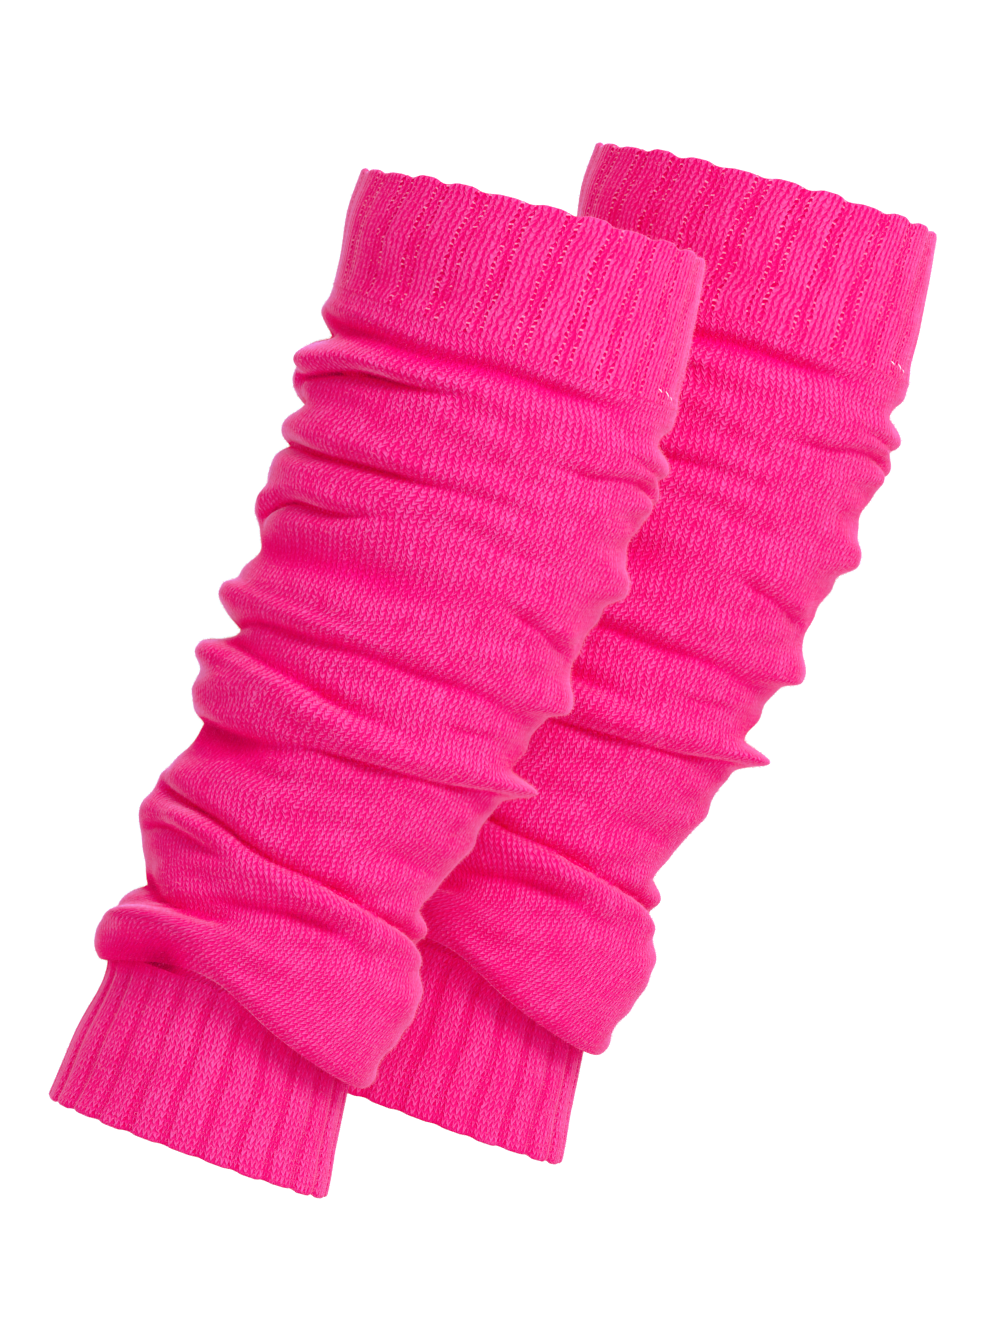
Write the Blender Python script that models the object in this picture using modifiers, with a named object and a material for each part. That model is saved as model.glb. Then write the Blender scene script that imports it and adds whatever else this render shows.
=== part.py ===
"""Pair of knitted leg warmers, filled out as on a leg and pushed down into slouched folds.

Each leg warmer is one tube in three stretches of knitting: a wide ribbed top cuff, a long plain
leg that slouches, and a narrower ribbed bottom cuff, half covered by the lowest fold. The two are
alike; they lean the same way, the second one up, across and behind the first. The cloth is a thin
wall round an open hollow. Lengths are in millimetres until the meshes are made.

A leg warmer is drawn upright: x runs across, y away from the viewer and z up the leg from the
bottom hem. Angles go round the leg in degrees: 0 faces the viewer, 90 is the right-hand side.
"""

import math
from collections import namedtuple

import bpy
import numpy as np

# Driving dimensions
MM = 0.001
WALL = 2.2                # thickness of the knitting
SEAM_GAP = 0.3            # between two stretches of knitting
LEAN = 20.1               # of both tubes, to the right
GRIP_HEIGHT = 308.0       # where the leg holds the top cuff; this point is the part's origin
PAIR_OFFSET = (77.6, 111.0, 9.9)   # from the front leg warmer to the back one

# Cuffs
RIBS = 24
POINTS_PER_RIB = 3        # one in the groove and two on the rib
TOP_RIB_TURN = 9.5        # angle of a groove, right of the front
BOTTOM_RIB_TURN = 5.3
LOWER_SEAM = 54.0         # bottom cuff meets the leg
UPPER_SEAM = 285.0        # leg meets the top cuff
TOP_RIM = 328.4           # mean height of the top edge
TOP_RIM_RISE = 5.2        # the top edge is higher at the right
TOP_RIM_CROWN = 4.0       # and higher in front than behind
HEM = 2.2                 # mean height of the bottom edge
HEM_CROWN = -2.2          # lower in front than behind
TOP_RIB = 1.2             # how far a rib stands out
BOTTOM_RIB = 1.8
SCALLOP = 0.7             # each rib's lobe at a free edge
GROOVE_WALL = 1.8         # thickness of the knitting in a cuff's grooves
CUFF_LEVELS = (0.0, 0.5, 1.0)      # rings of a cuff's mesh, as shares of its height

# Leg mesh
LEG_COLUMNS = 30
COLLAR = 2.5              # straight linking course at each end of the leg
ROW_STEP = 5.4
FOLD_FREE = 6.0           # no fold starts nearer than this to a seam

# Girth of the tube from the hem up: centre across, half width across and half depth
Section = namedtuple("Section", "height centre half_width half_depth")
SECTIONS = (
    Section(height=0, centre=-5.0, half_width=49.4, half_depth=47.0),
    Section(height=20, centre=-5.6, half_width=47.2, half_depth=45.5),
    Section(height=54, centre=-5.6, half_width=45.6, half_depth=44.5),
    Section(height=66, centre=-2.8, half_width=51.0, half_depth=51.0),
    Section(height=84, centre=-2.8, half_width=49.8, half_depth=50.0),
    Section(height=102, centre=-5.8, half_width=48.6, half_depth=49.5),
    Section(height=118, centre=-4.2, half_width=49.6, half_depth=50.5),
    Section(height=135, centre=-1.4, half_width=51.8, half_depth=52.0),
    Section(height=151, centre=0.0, half_width=54.0, half_depth=53.5),
    Section(height=167, centre=1.2, half_width=55.0, half_depth=54.5),
    Section(height=184, centre=3.2, half_width=56.4, half_depth=56.0),
    Section(height=217, centre=4.4, half_width=59.8, half_depth=58.0),
    Section(height=250, centre=4.2, half_width=61.4, half_depth=59.5),
    Section(height=285, centre=3.0, half_width=60.4, half_depth=58.5),
    Section(height=310, centre=-0.8, half_width=60.2, half_depth=58.0),
    Section(height=334, centre=-3.6, half_width=59.8, half_depth=57.0),
)

# Slouched folds. Each is a rounded crest hanging over a sunk crease. The crease runs from the
# start angle to the end angle through three heights.
Fold = namedtuple("Fold", "start end at_start at_middle at_end crest crease width droop fade_in fade_out")
FOLDS = (
    # front and sides, from the top cuff down
    Fold(-112, 72, 266.0, 276.5, 281.0, 0.6, 4.2, 5.0, 0.0, 0.15, 0.60),
    Fold(-88, 30, 253.5, 262.0, 263.0, 3.2, 3.2, 7.0, 1.2, 0.12, 0.45),
    Fold(-165, -66, 241.0, 244.0, 252.0, 3.4, 3.8, 11.0, 1.0, 0.25, 0.25),
    Fold(40, 128, 268.5, 259.0, 257.0, 3.6, 2.6, 5.0, 1.0, 0.30, 0.30),
    Fold(-4, 122, 244.0, 255.5, 243.0, 3.0, 2.2, 6.0, 1.0, 0.35, 0.25),
    Fold(-128, 27, 229.5, 232.5, 232.0, 3.0, 4.0, 7.0, 1.2, 0.18, 0.35),
    Fold(-108, 8, 203.0, 215.5, 221.0, 3.2, 3.2, 8.0, 1.2, 0.20, 0.50),
    Fold(12, 96, 212.0, 202.0, 191.0, 3.0, 2.8, 7.0, 1.0, 0.30, 0.35),
    Fold(-118, 18, 193.0, 196.0, 199.0, 1.0, 4.2, 9.0, 0.0, 0.18, 0.50),
    Fold(-118, 112, 165.0, 173.5, 170.0, 4.0, 4.4, 7.5, 1.5, 0.12, 0.15),
    Fold(14, 62, 166.0, 161.0, 161.5, 1.6, 1.6, 5.0, 0.5, 0.40, 0.40),
    Fold(-108, 28, 163.5, 157.5, 153.0, 1.6, 3.0, 5.0, 0.5, 0.15, 0.40),
    Fold(-110, 96, 132.0, 139.5, 146.0, 3.8, 5.0, 9.0, 1.5, 0.12, 0.45),
    Fold(-42, -10, 125.0, 124.5, 126.0, 1.0, 2.2, 4.0, 0.3, 0.45, 0.45),
    Fold(-88, 104, 112.0, 101.5, 89.5, 1.6, 4.2, 6.0, 0.6, 0.20, 0.12),
    Fold(-122, -12, 97.5, 96.0, 97.0, 3.4, 2.8, 6.5, 1.0, 0.18, 0.40),
    Fold(-128, -16, 78.0, 75.5, 79.5, 2.8, 4.2, 7.0, 0.8, 0.15, 0.30),
    Fold(-34, 46, 78.5, 86.5, 80.0, 3.8, 4.0, 8.0, 1.2, 0.25, 0.40),
    # behind
    Fold(102, 252, 271.0, 266.0, 269.0, 3.0, 3.2, 8.0, 1.2, 0.25, 0.25),
    Fold(128, 208, 246.0, 251.0, 247.0, 3.4, 3.4, 9.0, 1.2, 0.35, 0.35),
    Fold(98, 224, 232.0, 226.0, 229.5, 3.2, 3.4, 8.0, 1.2, 0.30, 0.30),
    Fold(168, 262, 214.0, 211.0, 204.0, 3.0, 3.4, 8.0, 1.0, 0.30, 0.25),
    Fold(88, 214, 204.0, 197.0, 194.0, 3.8, 4.0, 9.0, 1.5, 0.25, 0.35),
    Fold(146, 248, 182.0, 179.0, 169.0, 3.6, 4.0, 9.0, 1.5, 0.30, 0.25),
    Fold(104, 216, 168.0, 160.0, 155.5, 3.0, 3.4, 7.0, 1.0, 0.25, 0.30),
    Fold(134, 252, 147.0, 140.0, 133.5, 3.8, 4.6, 9.0, 1.5, 0.30, 0.25),
    Fold(94, 206, 126.0, 121.0, 118.0, 3.2, 3.2, 8.0, 1.0, 0.25, 0.35),
    Fold(142, 242, 107.0, 103.0, 98.0, 3.4, 3.8, 8.0, 1.2, 0.30, 0.30),
    Fold(96, 236, 88.0, 85.0, 79.0, 3.6, 4.0, 9.0, 1.2, 0.25, 0.25),
)

# Thin lips of cloth that stand out where a fold is pinched, through three heights
Lip = namedtuple("Lip", "start end at_start at_middle at_end out width droop fade")
LIPS = (
    Lip(62, 124, 253.5, 252.5, 250.0, 3.4, 4.2, 1.0, 0.40),
    Lip(58, 126, 223.0, 225.5, 222.0, 5.0, 4.6, 1.5, 0.40),
    Lip(-122, 4, 178.5, 181.5, 184.5, 2.6, 3.0, 0.5, 0.25),
    Lip(56, 124, 180.0, 182.5, 181.0, 5.6, 3.8, 3.0, 0.40),
    Lip(-112, 100, 158.5, 149.5, 151.0, 3.0, 4.5, 1.0, 0.15),
    Lip(60, 124, 150.0, 151.0, 149.0, 7.4, 4.0, 3.0, 0.40),
    Lip(-74, 112, 105.5, 95.5, 85.0, 3.2, 5.0, 0.8, 0.18),
    Lip(44, 136, 70.0, 71.5, 70.0, 3.4, 9.0, 0.0, 0.35),
    Lip(-124, 18, 66.0, 72.5, 72.0, 2.2, 3.4, 0.0, 0.25),
)

# The lowest fold hangs over the bottom cuff: how low its edge comes, and how much further out
# than the rest of the fold the edge stands, round the leg
Hang = namedtuple("Hang", "angle edge swell")
HANGS = (
    Hang(angle=-180, edge=57.0, swell=1.0),
    Hang(angle=-130, edge=55.0, swell=3.0),
    Hang(angle=-90, edge=57.5, swell=4.6),
    Hang(angle=-60, edge=63.5, swell=1.5),
    Hang(angle=-36, edge=62.5, swell=0.5),
    Hang(angle=-14, edge=56.5, swell=0.5),
    Hang(angle=19, edge=47.5, swell=0.5),
    Hang(angle=40, edge=42.5, swell=0.0),
    Hang(angle=64, edge=39.0, swell=-1.0),
    Hang(angle=90, edge=42.5, swell=-2.0),
    Hang(angle=130, edge=51.0, swell=0.0),
    Hang(angle=180, edge=57.0, swell=1.0),
)

# Its section from the seam: cloth used, share of the way out to the leg and share of the hang
Turn = namedtuple("Turn", "cloth out fall")
TURNS = (
    Turn(cloth=0.0, out=0.00, fall=0.00),
    Turn(cloth=2.5, out=0.00, fall=0.00),
    Turn(cloth=4.5, out=0.22, fall=0.02),
    Turn(cloth=6.5, out=0.34, fall=0.30),
    Turn(cloth=9.0, out=0.42, fall=0.75),
    Turn(cloth=11.5, out=0.58, fall=1.00),
    Turn(cloth=14.0, out=0.88, fall=0.96),
    Turn(cloth=18.0, out=1.00, fall=0.76),
    Turn(cloth=24.0, out=1.00, fall=0.48),
    Turn(cloth=34.0, out=1.00, fall=0.16),
    Turn(cloth=48.0, out=1.00, fall=0.00),
)
EDGE_CLOTH = 11.5         # cloth used when the lowest fold's edge is reached
ROWS_BY_TURN = 24.0       # up to here the mesh has a row for each turn
SWELL_SPREAD = 7.0        # of the swell at that edge

# Shapes across a fold, in widths of the fold: how far each bump spreads below and above
CREST_ABOVE = 0.9         # a crest lies this far above its crease
CREST_SPREAD = (0.55, 1.4)
CREASE_SPREAD = (0.9, 0.5)
LIP_SPREAD = (0.9, 1.1)
SWELL_SHAPE = (0.6, 1.4)

KNIT_COLOUR = (0.93, 0.012, 0.19)
KNIT_ROUGHNESS = 0.9


def smooth_step(share):
    share = np.clip(share, 0.0, 1.0)
    return share * share * (3.0 - 2.0 * share)


def bump(offset, spreads):
    """A rounded bump at offset 0 with its own spread below and above."""
    spread = np.where(offset < 0.0, spreads[0], spreads[1])
    return np.exp(-(offset / spread) ** 2)


def smooth_table(rows, key, value, at):
    """Reads one column of a table at any place, on a smooth curve through its rows."""
    keys = np.array([getattr(row, key) for row in rows], float)
    values = np.array([getattr(row, value) for row in rows], float)
    slopes = np.gradient(values, keys)
    at = np.clip(at, keys[0], keys[-1])
    lower = np.clip(np.searchsorted(keys, at, side="right") - 1, 0, len(keys) - 2)
    gap = keys[lower + 1] - keys[lower]
    share = (at - keys[lower]) / gap
    rest = 1.0 - share
    return (values[lower] * rest * rest * (1.0 + 2.0 * share)
            + values[lower + 1] * share * share * (1.0 + 2.0 * rest)
            + slopes[lower] * gap * share * rest * rest
            - slopes[lower + 1] * gap * rest * share * share)


def along_path(row, angle):
    """Share of the way along a fold's path at each angle, and the path's height there."""
    reach = row.end - row.start
    share = ((angle - row.start) % 360.0) / reach
    height = (row.at_start * (1.0 - share) * (1.0 - 2.0 * share)
              + row.at_middle * 4.0 * share * (1.0 - share)
              + row.at_end * share * (2.0 * share - 1.0))
    return share, height


def relief(angle, height):
    """How far the folds push each point of the leg out, and how far down."""
    out = np.zeros_like(height)
    down = np.zeros_like(height)
    for fold in FOLDS:
        share, line = along_path(fold, angle)
        strength = smooth_step(share / fold.fade_in) * smooth_step((1.0 - share) / fold.fade_out)
        offset = (height - line) / fold.width
        crest = strength * bump(offset - CREST_ABOVE, CREST_SPREAD)
        crease = strength * bump(offset, CREASE_SPREAD)
        out += fold.crest * crest - fold.crease * crease
        down += fold.droop * crest
    for lip in LIPS:
        share, line = along_path(lip, angle)
        strength = smooth_step(share / lip.fade) * smooth_step((1.0 - share) / lip.fade)
        ridge = strength * bump((height - line) / lip.width, LIP_SPREAD)
        out += lip.out * ridge
        down += lip.droop * ridge
    return out, down


def girth_point(angle, height, section_height, out):
    """A point of the tube: the section read at one height, pushed out, and set at another."""
    centre = smooth_table(SECTIONS, "height", "centre", section_height)
    half_width = smooth_table(SECTIONS, "height", "half_width", section_height)
    half_depth = smooth_table(SECTIONS, "height", "half_depth", section_height)
    turn = np.radians(angle)
    across = centre + (half_width + out) * np.sin(turn)
    away = -(half_depth + out) * np.cos(turn)
    return np.stack([across, away, height - GRIP_HEIGHT], axis=-1)


def leg_rows():
    """Heights of the cloth's rows in the leg: close together in the lowest fold."""
    start = LOWER_SEAM + SEAM_GAP
    end = UPPER_SEAM - SEAM_GAP
    turned = [start + turn.cloth for turn in TURNS if turn.cloth <= ROWS_BY_TURN]
    count = math.ceil((end - COLLAR - turned[-1]) / ROW_STEP)
    step = (end - COLLAR - turned[-1]) / count
    return turned + [turned[-1] + step * (row + 1) for row in range(count)] + [end]


def leg_surface():
    """The leg's outer face: rows of points up the cloth, columns round it."""
    rows = np.array(leg_rows())
    columns = -180.0 + 360.0 * np.arange(LEG_COLUMNS) / LEG_COLUMNS
    angle, cloth_height = np.meshgrid(columns, rows)
    cloth = cloth_height - rows[0]
    share_out = smooth_table(TURNS, "cloth", "out", cloth)
    share_fall = smooth_table(TURNS, "cloth", "fall", cloth)
    edge = smooth_table(HANGS, "angle", "edge", angle)
    hang = rows[0] + EDGE_CLOTH - edge
    swell = smooth_table(HANGS, "angle", "swell", angle)
    hung_height = cloth_height - hang * share_fall
    out, down = relief(angle, hung_height)
    below_top = UPPER_SEAM - SEAM_GAP - COLLAR - cloth_height
    free = smooth_step((cloth - EDGE_CLOTH) / FOLD_FREE) * smooth_step(below_top / FOLD_FREE)
    body = np.clip(cloth_height, LOWER_SEAM + EDGE_CLOTH, UPPER_SEAM - SEAM_GAP - COLLAR)
    section_height = LOWER_SEAM + (body - LOWER_SEAM) * share_out
    edge_swell = swell * bump((cloth - EDGE_CLOTH) / SWELL_SPREAD, SWELL_SHAPE)
    return girth_point(angle, hung_height - down * free, section_height, out * free + edge_swell)


def rib_profile(turned):
    """Angles round a cuff, and 0 in a groove to 1 on a rib at each."""
    points = RIBS * POINTS_PER_RIB
    index = np.arange(points)
    on_rib = (index % POINTS_PER_RIB != 0).astype(float)
    return turned - 180.0 + 360.0 * index / points, on_rib


def cuff_rings(low, high, rib, turned, low_lobe, high_lobe):
    """Rings of a cuff's wall: up its ribbed outside and back down its plain inside."""
    angle, on_rib = rib_profile(turned)
    turn = np.radians(angle)
    lowest = low(turn) - low_lobe * on_rib
    highest = high(turn) + high_lobe * on_rib
    outside = []
    inside = []
    for level in CUFF_LEVELS:
        height = lowest + (highest - lowest) * level
        outside.append(girth_point(angle, height, height, rib * (on_rib - 1.0)))
        inside.append(girth_point(angle, height, height, -rib - GROOVE_WALL))
    return outside + inside[::-1]


def knit_material(name):
    material = bpy.data.materials.new(name)
    material.use_nodes = True
    shader = material.node_tree.nodes["Principled BSDF"]
    shader.inputs["Base Color"].default_value = (*KNIT_COLOUR, 1.0)
    shader.inputs["Roughness"].default_value = KNIT_ROUGHNESS
    shader.inputs["Metallic"].default_value = 0.0
    material.diffuse_color = (*KNIT_COLOUR, 1.0)
    return material


def add_mesh(name, rings, closed, holder, collection):
    """A node whose faces join each ring of points to the next, and the last to the first."""
    rings = [np.asarray(ring) * MM for ring in rings]
    columns = len(rings[0])
    points = np.concatenate(rings)
    spans = len(rings) if closed else len(rings) - 1
    faces = []
    for ring in range(spans):
        following = (ring + 1) % len(rings)
        for column in range(columns):
            beside = (column + 1) % columns
            faces.append((ring * columns + column, ring * columns + beside,
                          following * columns + beside, following * columns + column))
    mesh = bpy.data.meshes.new(name)
    mesh.from_pydata(points.tolist(), [], faces)
    mesh.materials.append(knit_material(name + "_knit"))
    mesh.shade_smooth()
    mesh.set_sharp_from_angle(angle=math.radians(50))
    node = bpy.data.objects.new(name, mesh)
    node.parent = holder
    collection.objects.link(node)
    return node


def add_leg(name, holder, collection):
    surface = leg_surface()
    leg = add_mesh(name, list(surface), False, holder, collection)
    wall = leg.modifiers.new("knit_wall", "SOLIDIFY")
    wall.thickness = WALL * MM
    wall.offset = -1.0


def add_top_cuff(name, holder, collection):
    rings = cuff_rings(
        low=lambda turn: np.full_like(turn, UPPER_SEAM),
        high=lambda turn: TOP_RIM + TOP_RIM_RISE * np.sin(turn) + TOP_RIM_CROWN * np.cos(turn),
        rib=TOP_RIB, turned=TOP_RIB_TURN, low_lobe=0.0, high_lobe=SCALLOP)
    add_mesh(name, rings, True, holder, collection)


def add_bottom_cuff(name, holder, collection):
    rings = cuff_rings(
        low=lambda turn: HEM + HEM_CROWN * np.cos(turn),
        high=lambda turn: np.full_like(turn, LOWER_SEAM),
        rib=BOTTOM_RIB, turned=BOTTOM_RIB_TURN, low_lobe=SCALLOP, high_lobe=0.0)
    add_mesh(name, rings, True, holder, collection)


def add_leg_warmer(side, offset, collection):
    """One whole leg warmer, hung from the point where the leg holds its top cuff."""
    holder = bpy.data.objects.new(side + "_grip", None)
    holder.location = [MM * distance for distance in offset]
    holder.rotation_euler = (0.0, math.radians(LEAN), 0.0)
    collection.objects.link(holder)
    add_top_cuff(side + "_top_cuff", holder, collection)
    add_leg(side + "_leg", holder, collection)
    add_bottom_cuff(side + "_bottom_cuff", holder, collection)


def main():
    for leftover in list(bpy.data.objects):
        bpy.data.objects.remove(leftover, do_unlink=True)
    collection = bpy.data.collections.new("leg_warmers")
    bpy.context.scene.collection.children.link(collection)
    add_leg_warmer("front", (0.0, 0.0, 0.0), collection)
    add_leg_warmer("back", PAIR_OFFSET, collection)


main()
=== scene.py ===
"""Pair of hot-pink knitted leg warmers, filled out as on a leg and pushed down into folds.

Each leg warmer is one knitted tube in three stretches: a wide ribbed top cuff, a long plain leg
that slouches, and a ribbed ankle cuff under the lowest fold. The shapes follow the part's own
solids on a finer mesh, with the rounding, wrinkles, wales and loose fibres that the knitting
has. Shapes are drawn in millimetres, upright: x across, y away from the viewer and z up the leg.
Angles go round the leg in degrees: 0 faces the viewer, 90 is the right-hand side.
"""

import math
from collections import namedtuple

import bpy
import numpy as np
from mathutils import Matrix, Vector


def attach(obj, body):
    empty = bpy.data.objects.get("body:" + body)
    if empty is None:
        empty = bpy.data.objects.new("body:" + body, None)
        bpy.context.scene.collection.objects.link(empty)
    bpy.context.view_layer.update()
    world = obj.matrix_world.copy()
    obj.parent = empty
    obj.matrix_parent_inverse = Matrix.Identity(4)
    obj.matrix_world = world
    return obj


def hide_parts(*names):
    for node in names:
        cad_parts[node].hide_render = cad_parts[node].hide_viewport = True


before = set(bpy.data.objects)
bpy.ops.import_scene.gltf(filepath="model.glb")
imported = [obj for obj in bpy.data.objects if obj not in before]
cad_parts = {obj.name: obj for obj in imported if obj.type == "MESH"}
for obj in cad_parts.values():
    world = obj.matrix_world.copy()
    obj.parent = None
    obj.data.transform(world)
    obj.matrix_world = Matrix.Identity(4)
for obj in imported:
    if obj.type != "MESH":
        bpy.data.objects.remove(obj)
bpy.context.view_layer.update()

# ---------------------------------------------------------------- sizes shared with the part
MM = 0.001
LEAN = 20.1               # of both tubes, to the right
GRIP_HEIGHT = 308.0       # where the leg holds the top cuff; this point is the part's origin
PAIR_OFFSET = (77.6, 111.0, 9.9)   # from the front leg warmer to the back one

RIBS = 24
LOWER_SEAM = 54.0         # ankle cuff meets the leg
UPPER_SEAM = 285.0        # leg meets the top cuff
TOP_RIM = 328.4           # mean height of the top edge
TOP_RIM_RISE = 5.2        # the top edge is higher at the right
TOP_RIM_CROWN = 4.0       # and higher in front than behind
HEM = 2.2                 # mean height of the bottom edge
HEM_CROWN = -2.2          # lower in front than behind
COLLAR = 2.5              # straight linking course at each end of the leg
FOLD_FREE = 6.0           # no fold starts nearer than this to a seam

# Girth of the tube from the hem up: centre across, half width across and half depth
Section = namedtuple("Section", "height centre half_width half_depth")
SECTIONS = (
    Section(height=0, centre=-5.0, half_width=49.4, half_depth=47.0),
    Section(height=20, centre=-5.6, half_width=47.2, half_depth=45.5),
    Section(height=54, centre=-5.6, half_width=45.6, half_depth=44.5),
    Section(height=66, centre=-2.8, half_width=51.0, half_depth=51.0),
    Section(height=84, centre=-2.8, half_width=49.8, half_depth=50.0),
    Section(height=102, centre=-5.8, half_width=48.6, half_depth=49.5),
    Section(height=118, centre=-4.2, half_width=49.6, half_depth=50.5),
    Section(height=135, centre=-1.4, half_width=51.8, half_depth=52.0),
    Section(height=151, centre=0.0, half_width=54.0, half_depth=53.5),
    Section(height=167, centre=1.2, half_width=55.0, half_depth=54.5),
    Section(height=184, centre=3.2, half_width=56.4, half_depth=56.0),
    Section(height=217, centre=4.4, half_width=59.8, half_depth=58.0),
    Section(height=250, centre=4.2, half_width=61.4, half_depth=59.5),
    Section(height=285, centre=3.0, half_width=60.4, half_depth=58.5),
    Section(height=310, centre=-0.8, half_width=60.2, half_depth=58.0),
    Section(height=334, centre=-3.6, half_width=59.8, half_depth=57.0),
)

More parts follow.
